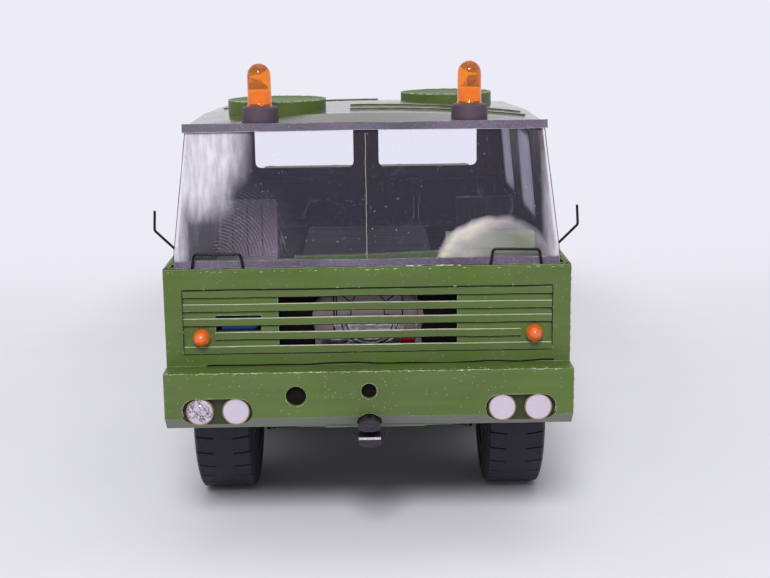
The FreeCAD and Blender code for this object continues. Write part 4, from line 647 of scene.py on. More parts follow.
class TRUCK_OT_paints(bpy.types.Operator):
    """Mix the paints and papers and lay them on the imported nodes."""

    bl_idname = "truck.paints"
    bl_label = "Paints"

    def execute(self, context):
        paint = context.scene.truck_paint
        lamps = context.scene.truck_lamps
        bare, worn = paint.wear, tuple(paint.paper)
        cab = box("cab_floor")
        middle, eaves = (0.0, (cab[0].y + cab[1].y) / 2 * MM, 0.065), 0.0812
        inside = (paint.near_black_inside, middle, eaves)
        card(GREEN, paint.green, worn, bare, flecks=0.35, patched=True)
        # the bumper's downward faces carry a painted floor reflection through under
        card(BUMPER_GREEN, paint.green, worn, bare, gloss=0.38, shine=0.42, under=rgba("8a8492"),
             flecks=0.5, patched=True)
        card(GREEN_DARK_INSIDE, paint.green, worn, bare, near_black_inside=inside, rim=(rgba("4b3436"), BELT * MM), flecks=0.35,
             patched=True)
        card(ROOF_GREEN, paint.roof, worn, bare, gloss=0.26, strokes=0.3, near_black_inside=inside, shine=0.4, coat=0.7)
        # a lighter copy of the green: painted light for the light that falls on the instrument box
        card(DASH_GREEN_LIT, rgba("7d9148"), worn, bare)
        card(SLAT_GREEN, paint.green, worn, bare, cut_top_and_highlight=rgba("e6e4e0"))
        card(BLACK, paint.black, rgba("6f6870"), bare, gloss=0.48, stretch=(1, 8, 1), reach=0.05)
        card(TYRE, paint.tyre, rgba("3a3746"), bare, gloss=0.6, stretch=(1, 1, 1), strokes=0.1, reach=0.0)
        card(STRIP, paint.strip, rgba("c4bdca"), bare, gloss=0.42, stretch=(1.5, 1, 1), strokes=0.85,
             flecks=0.6, coarse=0.3)
        card(ENGINE, paint.engine, rgba("b5aeb2"), bare, gloss=0.55, stretch=(1, 1, 3), strokes=0.12)
        card(SEAT, paint.seat, rgba("a89ca2"), bare, gloss=0.65, stretch=(1, 1, 1))
        card(BLUE, paint.blue, worn, bare, gloss=0.4, reach=0.0)
        card(RED, paint.red, worn, bare, gloss=0.35, reach=0.0)
        card(BARE_CARD_AND_HIGHLIGHT, paint.paper, rgba("b9bfa2"), bare, gloss=0.7, strokes=0.3)
        card(DARK_INSIDE, paint.near_black_inside, rgba("2c2836"), bare, gloss=0.6, reach=0.0)
        # the headlamp recesses are painted dark green as painted shade in the hollow
        card(HEADLAMP_HOLLOW_SHADE, rgba("2b361a"), rgba("3a4426"), bare, reach=0.0)
        card(COLLAR, rgba("51414f"), rgba("7a6a76"), bare, gloss=0.5, stretch=(1, 1, 1))
        card(RIM, rgba("8a6f58"), rgba("b39a84"), bare, gloss=0.7, strokes=0.2)
        card(INK_AND_SHADE, rgba("17130f"), rgba("241f1c"), bare, gloss=0.75, reach=0.0, shine=0.1)
        card(DIAL, rgba("cfcdc6"), rgba("dedbd6"), bare, gloss=0.5, reach=0.0)
        foil(CRINKLED, lamps.foil, 1.7, 0.9, 0.24, 1.0)
        foil(MATT_FOIL, lamps.foil, 2.5, 0.2, 0.5)
        foil(SILVER, lamps.silver, 1.5, 0.7, 0.34, 0.35)
        metal(STEEL, rgba("3a363f"), 0.36)
        metal(WIRE, rgba("1d1317"), 0.3)
        # the emission of these three resins is a painted glow: the lamps are not lit, and the core glows most
        resin(AMBER, lamps.amber, 0.88, 0.06)
        resin(AMBER_DOME, rgba("e2620a"), 0.1, 0.12, 0.7)
        resin(AMBER_CORE, lamps.core, 0.0, 0.3)
        film(FILM, True, rgba("b5add4"), rgba("fcfcff"), 1.35)
        film(SIDE_FILM, False, rgba("dddbe4"), rgba("dad9df"), 1.12)
        self.lay_on_nodes()
        return {"FINISHED"}

    def lay_on_nodes(self):
        by_slot = {"green_card": GREEN, "black_card": BLACK, "tyre_card": TYRE, "dark_strip": STRIP,
                   "engine_card": ENGINE, "seat_card": SEAT, "blue_card": BLUE, "red_card": RED,
                   "clear_film": FILM, "amber_lens": AMBER, "lamp_foil": MATT_FOIL, "silver_foil": SILVER,
                   "dark_metal": STEEL, "dark_wire": WIRE}
        special = {"cab_roof": ROOF_GREEN, "cab_side_left": GREEN_DARK_INSIDE, "cab_side_right": GREEN_DARK_INSIDE,
                   "cab_rear_wall": GREEN_DARK_INSIDE, "cab_front_panel": GREEN_DARK_INSIDE, "side_glazing": SIDE_FILM,
                   "bumper": BUMPER_GREEN, "instrument_panel": DASH_GREEN_LIT, "headlamp_recesses": HEADLAMP_HOLLOW_SHADE,
                   "cab_floor": DARK_INSIDE}
        slots = {part["node"]: part["material_slot"] for part in frame["record"]["subparts"]}
        for name, node in frame["nodes"].items():
            node.data.materials.clear()
            node.data.materials.append(bpy.data.materials[special.get(name, by_slot[slots[name]])])


def tyre_skin(piece, centre, axis, radius, half, sizes):
    """Tyre of stacked card rings with slanting grooves cut into its tread."""
    count = round(2 * pi * radius / (sizes.groove_pitch / MM))
    share = sizes.groove_width / sizes.groove_pitch
    columns = ((0, 0), (share * 0.25, 1), (share * 0.75, 1), (share, 0), (0.5, 0))
    bore = 9.0
    tread = [(0, 0), (2.0, 0), (2.1, 1), (4.2, 1), (5.4, 1)]
    side = [(5.75, 0.5, 0.4), (6.0, 1.3, 0.0), (6.0, 3.2, 0), (5.8, 3.3, 0), (5.8, 6.6, 0), (6.0, 6.75, 0),
            (6.0, 7.5, 0), (5.7, 7.7, 0), (5.35, radius - bore - 1.5, 0), (4.9, radius - bore, 0)]
    half_rows = [(x * half / 6, 0.0, depth) for x, depth in tread]
    half_rows += [(x * half / 6, drop, depth) for x, drop, depth in side]
    rows = [(-x, drop, depth) for x, drop, depth in reversed(half_rows[1:])] + half_rows
    rings = []
    for x, drop, depth in rows:
        lead = sizes.groove_lead / MM * (half - abs(x)) / half / radius
        ring = []
        for k in range(count):
            for place, groove in columns:
                angle = 2 * pi * (k + place) / count - lead
                reach = radius - drop - groove * depth * sizes.groove_depth / MM
                ring.append(on_axis(centre, axis, x, -reach * cos(angle), reach * sin(angle)))
        rings.append(ring)
    piece.skin(rings, looped=True)


def wheel_face(piece, centre, axis, out):
    """Rim, hub and back of a wheel, turned about its axle. out is 1 or -1, the side it faces."""
    rim = [(-5.2, 9.0), (5.2, 9.0), (5.3, 8.85), (5.3, 8.35), (5.1, 8.2), (2.9, 7.9), (1.9, 7.9), (-4.8, 8.4),
           (-5.2, 8.5)]
    piece.turned([(out * along, radius) for along, radius in rim], centre, axis, 48, looped=True)
    hub = [(2.8, 3.4), (3.3, 3.2), (3.9, 3.0), (4.1, 2.8), (4.1, 1.9), (4.35, 1.7), (4.5, 1.3), (4.55, 0)]
    back = [(2.75, 0), (2.75, 1.55), (-7.4, 1.55), (-7.4, 4.0), (-6.6, 4.2), (1.4, 4.4), (1.8, 4.6), (1.8, 3.4)]
    piece.turned([(out * along, radius) for along, radius in back + hub], centre, axis, 40)


AXIS_TURNS = {"X": (pi / 2, "Y"), "Y": (-pi / 2, "X"), "Z": (0.0, "Z")}


def set_on(piece, mesh, centre, axis, out, paint=0):
    """Sets a plain mesh on a face that looks along an axis, out being 1 or -1."""
    angle, about = AXIS_TURNS[axis]
    piece.copy(mesh, Matrix.Translation(Vector(centre) * MM) @ Matrix.Rotation(angle * out, 4, about), paint)


def wheel_plate():
    """Flat plate with its hand holes, to be set between hub and rim."""
    angles = [2 * pi * (k + 0.25) / 5 for k in range(5)]
    holes = [circle((6.0 * cos(a), 6.0 * sin(a)), 1.2, 14) for a in angles]
    flat = Piece(GREEN)
    flat.plate([circle((0, 0), 7.95, 48), circle((0, 0), 3.3, 24)] + holes, 1.8, 2.8, "Z")
    return flat.plain("plate")


def bolts(material, radius, count, size):
    """Ring of six-sided bolt heads from geometry nodes, each turned a little by hand."""
    head = Piece(material)
    profile = [(-0.1, 0), (-0.1, size / 2), (size * 0.6, size / 2), (size * 0.7, size * 0.35), (size * 0.7, 0)]
    head.turned(profile, (0, 0, 0), "Z", 6)
    return repeated("Bolt ring", head.plain("bolt"),
                    {"Count": count, "Radius": radius * MM, "Lean": Vector((0, 0, 1.5))}, ring=True)


class TRUCK_OT_wheels(bpy.types.Operator):
    """Build the eight wheels that roll, and the spare wheel."""

    bl_idname = "truck.wheels"
    bl_label = "Wheels"

    def execute(self, context):
        sizes = context.scene.truck_wheels
        nuts, plate = bolts(STEEL, 4.1, sizes.nuts, sizes.nut_size / MM), wheel_plate()
        wheels = [(f"wheel_{number}_{side}", f"tyre_{number}_{side}", f"disc_{number}_{side}",
                   f"wheel_disc_{number}_{side}", "X", out) for number in AXLES for side, out in SIDES.items()]
        wheels.append(("truck", "spare_tyre", "spare_disc", "spare_wheel_disc", "Z", 1))
        for body, tyre_node, title, disc_node, axis, out in wheels:
            low, high = box(tyre_node)
            centre = tuple((low + high) / 2)
            wide, high_half = (high.x - low.x) / 2, (high.z - low.z) / 2
            radius, half = (high_half, wide) if axis == "X" else (wide, high_half)
            tyre = Piece(TYRE)
            tyre_skin(tyre, centre, axis, radius, half, sizes)
            tyre.finish("grooved_" + tyre_node, "tyre_card", tyre_node, body=body)
            face = Piece(GREEN, STEEL)
            wheel_face(face, centre, axis, out)
            set_on(face, plate, centre, axis, out)
            set_on(face, nuts, on_axis(centre, axis, out * 2.8, 0, 0), axis, out, 1)
            face.finish("nutted_" + title, "green_card", disc_node, body=body)
        return {"FINISHED"}


class TRUCK_OT_headlamps(bpy.types.Operator):
    """Build the four foil headlamps and the two amber indicators."""

    bl_idname = "truck.headlamps"
    bl_label = "Headlamps and indicators"

    def execute(self, context):
        low, high = box("headlamps")
        z, radius, pitch = (low.z + high.z) / 2, 2.65, 6.9
        crinkle = context.scene.truck_lamps.crinkle / MM
        rims = Piece(RIM, MATT_FOIL, CRINKLED)
        left, right = low.x + radius, high.x - radius
        for k, x in enumerate((left, left + pitch, right - pitch, right)):
            rims.turned([(0, 0), (0, radius), (-0.75, radius), (-0.85, radius - 0.1), (-0.8, radius - 0.22),
                         (-0.3, radius - 0.26), (-0.3, 0)], (x, high.y, z), "Y", 40)
            self.foil_face(rims, (x, low.y - 0.05, z), radius - 0.24, crinkle if k == 0 else crinkle * 0.12,
                           2 if k == 0 else 1, k)
        rims.finish("foil_headlamps", "lamp_foil", "headlamps")
        self.indicators()
        return {"FINISHED"}

    def foil_face(self, piece, centre, radius, height, paint, seed):
        """Disc of foil with creases up to a height, turned over its edge."""
        rings = []
        for back, r in [(0.3, radius)] + [(0.0, radius * (1 - k / 10)) for k in range(10)]:
            ring = []
            for angle in turns(36):
                a, b = r * cos(angle), r * sin(angle)
                bump = abs(noise.noise(Vector((a * 1.3, b * 1.3, seed * 5)))) * height * 2
                ring.append((centre[0] + a, centre[1] + back - bump, centre[2] + b))
            rings.append(ring)
        piece.skin(rings + [[centre]], paint)

    def indicators(self):
        low, high = box("indicator_lamps")
        radius = (high.z - low.z) / 2
        z, root = (low.z + high.z) / 2, -131.6
        reach = root - low.y
        lens = Piece(AMBER_DOME)
        for x in (low.x + radius, high.x - radius):
            profile = [(0.8, 0), (0.8, radius * 0.9), (0, radius * 0.95), (-0.3, radius), (-0.7, radius)]
            profile += [(-0.7 - a * (reach - 0.7) / radius, r) for a, r in dome(radius, radius)[1:]]
            lens.turned(profile, (x, root, z), "Y", 36)
        lens.finish("indicator_domes", "amber_lens", "indicator_lamps")


class TRUCK_OT_bumper(bpy.types.Operator):
    """Add the bumper's chipped edges, whose pale top edge is partly a painted highlight, its torn hole rims, the
    lower lip of its middle, and painted shade behind its holes.
    """

    bl_idname = "truck.bumper"
    bl_label = "Bumper marks"

    def execute(self, context):
        low, high = box("bumper")
        marks = Piece(BUMPER_GREEN, BARE_CARD_AND_HIGHLIGHT, RIM, SILVER, INK_AND_SHADE)
        jaw, front, crown = box("tow_jaws")[0].y, low.y, high.z
        # bright lower edge of the tow jaw, and a dark sheet behind the two round holes, as painted shade in the
        # hollow bumper
        marks.block((-2.1, jaw - 0.05, 24.05), (2.1, jaw + 0.4, 24.5), 3)
        marks.block((-17.0, front + 1.3, 28.2), (3.0, front + 1.7, 36.0), 4)
        fold = crown - 0.05
        # dense pale chips along the top front edge: partly chipped paint, partly a painted highlight on the edge
        chips(marks, [(low.x + 0.5, front, fold), (high.x - 0.5, front, fold)], 260, 0.19, 1, 21, 0.13)
        chips(marks, [(-8.0, front + 0.5, crown), (high.x - 4, front + 0.5, crown)], 60, 0.14, 1, 22, 0.4)
        chips(marks, [(high.x, front, low.z + 3), (high.x, front, crown)], 22, 0.22, 2, 23, 0.05)
        for x, z, radius in ((-13.9, 31.8, 2.08), (0.0, 32.6, 1.66)):
            arc = [(x + radius * cos(a), front, z + radius * sin(a))
                   for a in (pi * (1.15 + 0.7 * k / 12) for k in range(13))]
            chips(marks, arc, 14, 0.14, 1, round(40 + x), 0.06)
        self.lip(marks, low)
        marks.finish("bumper_marks", "green_card")
        return {"FINISHED"}

    def lip(self, marks, low):
        """The chamfer hangs a little lower in the middle, with a step at each end."""
        rings = []
        for x, drop in ((-14.0, 0.15), (-8.6, 0.2), (-8.5, 0.5), (10.6, 0.5), (10.7, 0.2), (16.0, 0.15)):
            near, far = 2.2, 2.5 + drop
            slope = [(near - 0.03, near - 0.03), (far, far), (far + 0.2, far - 0.2), (near + 0.3, near - 0.2)]
            rings.append([(x, low.y + back, low.z + 2.5 - down) for back, down in slope])
        marks.skin(rings)


class TRUCK_OT_beacons(bpy.types.Operator):
    """Build the two amber roof beacons and their collars."""

    bl_idname = "truck.beacons"
    bl_label = "Beacons"

    def execute(self, context):
        low, high = box("beacon_lamps")
        radius = (high.y - low.y) / 2
        y, base, height = (low.y + high.y) / 2, low.z, high.z - low.z
        lens = Piece(AMBER)
        core = Piece(AMBER_CORE)
        for x in (low.x + radius, high.x - radius):
            body = height - radius
            profile = [(0, 0), (0, radius), (1.9, radius), (2.0, radius * 0.97), (body, radius * 0.95)]
            profile += [(body + a, r) for a, r in dome(radius * 0.95, radius)[1:]]
            lens.turned(profile, (x, y, base), "Z", 40)
            # the pale core stands for the lamp's inner cup, and its glow is painted light
            cup = [(2.0, 0), (2.0, 1.85), (4.2, 1.9), (4.45, 1.7), (4.6, 1.0), (4.65, 0)]
            core.turned(cup, (x, y, base), "Z", 28)
        lens.finish("beacon_domes", "amber_lens", "beacon_lamps")
        core.finish("beacon_cores", "amber_lens")
        self.collars(y)
        return {"FINISHED"}

    def collars(self, y):
        low, high = box("beacon_collars")
        radius = (high.y - low.y) / 2
        ring = Piece(COLLAR)
        for x in (low.x + radius, high.x - radius):
            top = high.z - low.z
            profile = [(0, 2.5), (0, radius), (1.2, radius + 0.03), (top - 0.3, radius - 0.05),
                       (top - 0.08, radius - 0.3), (top, radius - 0.7), (top, 2.6), (top - 0.2, 2.5)]
            ring.turned(profile, (x, y, low.z), "Z", 40, looped=True)
        ring.finish("round_beacon_collars", "black_card", "beacon_collars")


class TRUCK_OT_wires(bpy.types.Operator):
    """Bend the wire handles and the bare mirror arms."""

    bl_idname = "truck.wires"
    bl_label = "Wire handles and arms"

    def execute(self, context):
        high = box("wire_handles_and_arms")[1]
        wires = Piece(WIRE, BARE_CARD_AND_HIGHLIGHT)
        for out in (1, -1):
            handle = [(33.4, -131.4, 55.4), (33.3, -131.75, 56.2), (32.9, -131.65, 58.45),
                      (24.1, -131.65, 58.5 + 0.15 * out), (23.7, -131.75, 56.2), (23.6, -131.4, 55.4)]
            arm = [(36.4, -127.5, 58.7), (36.9, -127.5, 58.7), (high.x - 0.3, -127.5, 62.5),
                   (high.x - 0.5, -127.5, high.z)]
            for line, bend, steps, thick in ((handle, 0.7, 6, 0.55), (arm, 0.35, 4, 0.5)):
                wires.rod(rounded([(out * x, y, z) for x, y, z in line], bend, steps), thick, 14)
            wires.turned([(0, 0), (0.0, 0.55), (0.25, 0.45), (0.4, 0)], (out * 36.5, -127.5, 58.7), "X", 12)
        wires.finish("bent_wires", "dark_wire", "wire_handles_and_arms")
        return {"FINISHED"}


def screen_y(z):
    """Front of the windscreen film at a height."""
    low = box("windscreen")[0]
    return low.y + 6.4 * ((z - low.z) / (box("cab_roof")[0].z - low.z))


def leaning_in(half, z):
    """Half a width at a height, given what it is at the belt: above it the cab's walls lean in."""
    return half - 2.2 * max(0.0, (z - BELT) / (box("cab_roof")[0].z - BELT))


class TRUCK_OT_glazing(bpy.types.Operator):
    """Cut the windscreen film with its seam and the dark strips above and below it."""

    bl_idname = "truck.glazing"
    bl_label = "Windscreen"

    def execute(self, context):
        low, high = box("windscreen")
        sheet = Piece(FILM)
        heights = [low.z + 0.1 + (high.z - low.z - 0.2) * k / 8 for k in range(9)]
        sheet.skin([self.film_row(z, 0.0) + self.film_row(z, 0.2)[::-1] for z in heights])
        sheet.finish("bowed_windscreen", "clear_film", "windscreen")
        seam = Piece(BARE_CARD_AND_HIGHLIGHT, INK_AND_SHADE)
        points = [(waver(z, 2, 0.12), screen_y(z) - 0.06, z) for z in
                  (low.z + 1.3 + (high.z - low.z - 2) * k / 12 for k in range(13))]
        seam.rod(points, 0.12, 6)
        for out in (1, -1):
            edge = [(out * (leaning_in(SCREEN_HALF, z) + 0.3 + waver(z, 3 + out, 0.06)), screen_y(z) - 0.2, z)
                    for z in heights]
            seam.rod(edge, 0.16, 6, 1)
        seam.finish("windscreen_seam", "clear_film")
        self.strips()
        return {"FINISHED"}

    def film_row(self, z, back):
        """One row of the film, which is not quite flat."""
        half = leaning_in(SCREEN_HALF, z) + 0.25
        row = []
        for k in range(41):
            share = -1 + 2 * k / 40
            wave = 0.1 * noise.noise(Vector((share * 3, z * 0.08, 4)))
            row.append((share * half, screen_y(z) - 0.3 + back + wave, z))
        return row

    def strips(self):
        """Two strips, each of two paper layers that wander a little."""
        low, high = box("windscreen_strips")
        pair = Piece(STRIP)
        for half, base, top, seed in ((36.9, low.z, low.z + 1.35, 1), (35.2, high.z - 1.55, high.z, 2)):
            for layer, (lift, drop, near, far) in enumerate(((0, 0.28, 0.1, 0.5), (0.0, 0.0, 0.5, 0.85))):
                rings = []
                for k in range(41):
                    x = half * (-1 + 2 * k / 40)
                    bottom = base + lift + waver(x * 0.12, seed + layer * 3, 0.16)
                    head = top - drop + waver(x * 0.1, seed + 9 + layer, 0.14)
                    front = -far + waver(x * 0.2, seed + 5, 0.1)
                    rings.append([(x, screen_y(bottom) - near, bottom), (x, screen_y(bottom) + front, bottom),
                                  (x, screen_y(head) + front, head), (x, screen_y(head) - near, head)])
                pair.skin(rings)
        pair.finish("paper_strips", "dark_strip", "windscreen_strips", bevel=0.06)


class TRUCK_OT_grille(bpy.types.Operator):
    """Repeat the card slats of the grille."""

    bl_idname = "truck.grille"
    bl_label = "Grille"

    def execute(self, context):
        sizes = context.scene.truck_grille
        low, high = box("grille_slats")
        pitch, height = sizes.pitch / MM, sizes.height / MM
        slats = Piece(SLAT_GREEN, INK_AND_SHADE, BARE_CARD_AND_HIGHLIGHT)
        for first, count, half in ((0, 1, high.x), (1, 1, high.x - 6.1), (2, sizes.count - 2, high.x)):
            lift = Matrix.Translation(Vector((0, low.y, low.z + first * pitch + height / 2)) * MM)
            for paint, shape in enumerate(self.slat(half, height, high.y - low.y, sizes.waver / MM, first)):
                row = {"Count": count, "Step": Vector((0, 0, sizes.pitch)), "Lean": Vector((0.0, 0.0016, 0.0))}
                plain = repeated("Slat row", shape, row)
                slats.copy(plain, lift, paint)
        slats.finish("card_slats", "green_card", "grille_slats")
        self.frame_lines(low, high)
        self.liners(low, high)
        return {"FINISHED"}

    def liners(self, low, high):
        """Green card close behind the slats on both sides of the open centre, cut out for the reservoir."""
        liner = Piece(GREEN)
        tank = box("reservoir")
        left, right = tank[0].x - 1.0, tank[1].x + 1.0
        below, above = tank[0].z - 0.15, tank[1].z + 0.15
        inner = self.opening()
        for out in (1, -1):
            edge = [(out * inner, low.z), (out * high.x, low.z), (out * high.x, high.z), (out * inner, high.z)]
            hole = [[(left, below), (right, below), (right, above), (left, above)]] if out < 0 else []
            liner.plate([edge] + hole, low.y + 0.38, low.y + 0.62)
        liner.finish("grille_liners", "green_card")

    def opening(self):
        """Half width of the grille's open centre."""
        return 0.4845 * box("grille_slats")[1].x

    def slat(self, half, height, depth, size, seed):
        """One slat, a dark line below it as painted shadow, and bare card along its upper edge, partly a painted
        highlight.
        """
        strip, ink, bare = Piece(SLAT_GREEN), Piece(INK_AND_SHADE), Piece(BARE_CARD_AND_HIGHLIGHT)
        rings, lower, upper = [], [], []
        for k in range(41):
            x = half * (-1 + k / 20)
            wander = waver(x * 0.08, 3 + seed, size)
            base, top = wander - height / 2, wander + height / 2
            rings.append([(x, 0, base), (x, depth, base), (x, depth, top), (x, 0, top)])
            lower.append((x, 0.04, base - 0.05 + waver(x * 0.5, 8, 0.05)))
            upper.append((x, 0.03, top - 0.02 + waver(x * 0.6, 5, 0.07)))
        strip.skin(rings)
        # the dark line under the slat is a painted shadow
        ink.rod(lower, 0.17, 5)
        # the pale thread is bare card and partly a painted highlight
        bare.rod(upper, 0.07, 5)
        return [strip.plain("slat", 0.04), ink.plain("slat ink"), bare.plain("slat edge")]

    def frame_lines(self, low, high):
        """Dark cut lines round the grille, and the panel's chipped and browned edges."""
        marks = Piece(INK_AND_SHADE, BARE_CARD_AND_HIGHLIGHT, RIM)
        face = low.y - 0.02
        left, right, bottom, top = low.x, high.x, low.z, high.z
        cuts = (((left, top + 0.1), (right, top + 0.1), 0.3), ((left, top), (left, bottom), 0.16),
                ((right, top), (right, bottom + 0.8), 0.18),
                ((left, bottom - 0.05), (right - 0.8, bottom - 0.05), 0.16))
        for (x0, z0), (x1, z1), thick in cuts:
            marks.rod([(x0 + (x1 - x0) * k / 24 + waver(k * 0.4, 2, 0.05), face,
                        z0 + (z1 - z0) * k / 24 + waver(k * 0.3, 4, 0.06)) for k in range(25)], thick, 6)
        panel = box("cab_front_panel")
        half, crown, foot = panel[1].x, panel[1].z, panel[0].z
        chips(marks, [(-half + 0.3, face, crown - 0.6), (half - 0.3, face, crown - 0.4)], 70, 0.2, 1, 11)
        chips(marks, [(6.5, face - 0.1, crown + 0.1), (10.3, face - 0.1, crown + 0.1)], 9, 0.35, 1, 17, 0.06)
        chips(marks, [(12.9, face - 0.1, crown + 0.1), (18.0, face - 0.1, crown + 0.1)], 12, 0.35, 1, 18, 0.06)
        chips(marks, [(left, face, top + 0.2), (right, face, top + 0.2)], 10, 0.22, 1, 12)
        chips(marks, [(left, face, bottom), (left, face, top)], 7, 0.2, 2, 13)
        chips(marks, [(right, face, bottom), (right, face, top)], 10, 0.2, 2, 14)
        joint = [(half * (-0.8 + 1.72 * k / 30), face - 0.02, foot + 0.22 + waver(k * 0.35, 6, 0.35))
                 for k in range(31)]
        marks.rod(joint, 0.3, 6)
        chips(marks, joint[1:14], 16, 0.25, 2, 15, 0.05)
        edge = [(half, panel[0].y, foot + (crown - foot) * k / 12) for k in range(13)]
        chips(marks, edge, 40, 0.24, 2, 16, 0.04)
        marks.finish("panel_marks", "green_card")


class TRUCK_OT_engine(bpy.types.Operator):
    """Build what shows behind the grille: the engine's round front, foil disc, tag, wire and reservoir."""

    bl_idname = "truck.engine"
    bl_label = "Engine front"

    def execute(self, context):
        front = box("engine_block")[0].y
        form = Piece(ENGINE, INK_AND_SHADE, SILVER, RED, BLUE, BARE_CARD_AND_HIGHLIGHT)
        profile = [(1.0, 0), (1.0, 11.3), (0.4, 11.4), (-0.1, 11.1), (-0.5, 10.2), (-0.8, 8.5), (-0.9, 0)]
        form.skin([[(radius * cos(a), front + along, 45.0 + 0.56 * radius * sin(a))
                    for a in (turns(48) if radius else (0.0,))] for along, radius in profile])
        for out in (1, -1):
            form.block((out * 10.7, front - 0.2, 38.0), (out * 17.4, front + 0.2, 52.0), 1)
        form.block((-6.6, front - 1.3, 40.6), (6.7, front - 0.8, 50.6))
        self.outlines(form, front - 1.3)
        self.foil_disc(form, front - 1.3)
        tag = [(6.1, 39.4), (9.3, 39.7), (9.1, 40.4), (8.3, 41.2), (6.3, 41.0)]
        form.plate([tag], front - 2.0, front - 1.6, "Y", 3)
        wire = [(9.4, -0.6, 50.0), (9.7, -1.4, 46.0), (9.4, -1.5, 43.0), (8.9, -1.2, 41.0)]
        plug = [(9.4, -1.5, 44.2), (9.45, -1.55, 42.6), (9.0, -1.4, 41.2)]
        for line, bend, thick, paint in ((wire, 1.0, 0.3, 3), (plug, 0.5, 0.34, 5)):
            form.rod(rounded([(x, front + y, z) for x, y, z in line], bend), thick, 8, paint)
        form.finish("engine_front", "engine_card", "engine_disc", bevel=0.08)
        self.reservoir()
        return {"FINISHED"}

    def outlines(self, form, front):
        """Drawn edges and cooling folds, as thin dark lines on the card."""
        lines = [[(-6.6, 40.8), (-6.6, 50.5)], [(6.7, 40.8), (6.7, 50.5)], [(-6.1, 40.8), (-6.1, 50.5)],
                 [(-5.2, 49.5), (-3.2, 47.9), (-2.2, 49.4)], [(2.2, 49.4), (3.5, 47.95), (5.2, 49.3)],
                 [(-6.0, 44.6), (-3.3, 45.4), (-3.3, 47.2)], [(6.4, 44.9), (3.2, 45.4), (3.2, 46.9)],
                 [(-5.4, 43.8), (-3.2, 42.6), (-2.2, 43.8), (0.2, 42.6), (1.9, 43.7), (3.2, 42.5), (5.6, 43.9)]]
        for line in lines:
            form.rod([(x, front - 0.02, z) for x, z in line], 0.27, 6, 1)

    def foil_disc(self, form, front):
        """Foil over a card disc, with a raised ring, and a crumpled tail at its side."""
        def bowl(across, down):
            return [(0.3 + across * cos(a), 44.3 + down * sin(a))
                    for a in (pi * (1 + k / 24) for k in range(25))]

        form.plate([bowl(7.0, 4.9)], front - 0.6, front + 0.1, "Y", 2)
        for across, down, thick, paint in ((5.0, 4.4, 0.36, 2), (4.55, 4.0, 0.2, 1), (5.5, 4.75, 0.2, 1)):
            form.rod([(x, front - 0.7, z) for x, z in bowl(across, down)], thick, 8, paint)
        rings = []
        for k in range(12):
            x = -9.2 + 0.55 * k
            swell = 0.35 + 1.5 * sin(pi * k / 11)
            ring = []
            for angle in turns(14):
                crush = 1 + 0.5 * noise.noise(Vector((x * 1.7, angle * 2.2, 3)))
                ring.append((x, front + 0.2 + 0.5 * swell * crush * cos(angle),
                             40.6 + swell * crush * sin(angle)))
            rings.append(ring)
        form.skin(rings, 2)

    def reservoir(self):
        low, high = box("reservoir")
        radius = (high.z - low.z) / 2 - 0.05
        centre = (low.x, low.y + radius - 0.9, low.z + radius - 0.5)
        length = high.x - low.x
        tank = Piece(BLUE)
        profile = [(-0.2, 0), (0, radius * 0.8), (0.25, radius), (length - 0.25, radius),
                   (length, radius * 0.8), (length + 0.2, 0)]
        tank.turned(profile, centre, "X", 28)
        tank.finish("round_reservoir", "blue_card", "reservoir")


def rivet_row(piece, low, step, count, diameter, height, axis):
    """Row of domed rivets from geometry nodes, standing out along an axis."""
    rivet = Piece(piece.materials[0])
    sunk = -0.1 if height > 0 else 0.1
    profile = [(sunk, 0), (sunk, diameter / 2), (height * 0.55, diameter * 0.41), (height, 0)]
    rivet.turned(profile, (0, 0, 0), axis, 10)
    row = {"Count": count, "Step": Vector(step) * MM, "Lean": Vector((0, 0, 0))}
    plain = repeated("Rivet row", rivet.plain("rivet"), row)
    piece.copy(plain, Matrix.Translation(Vector(low) * MM))


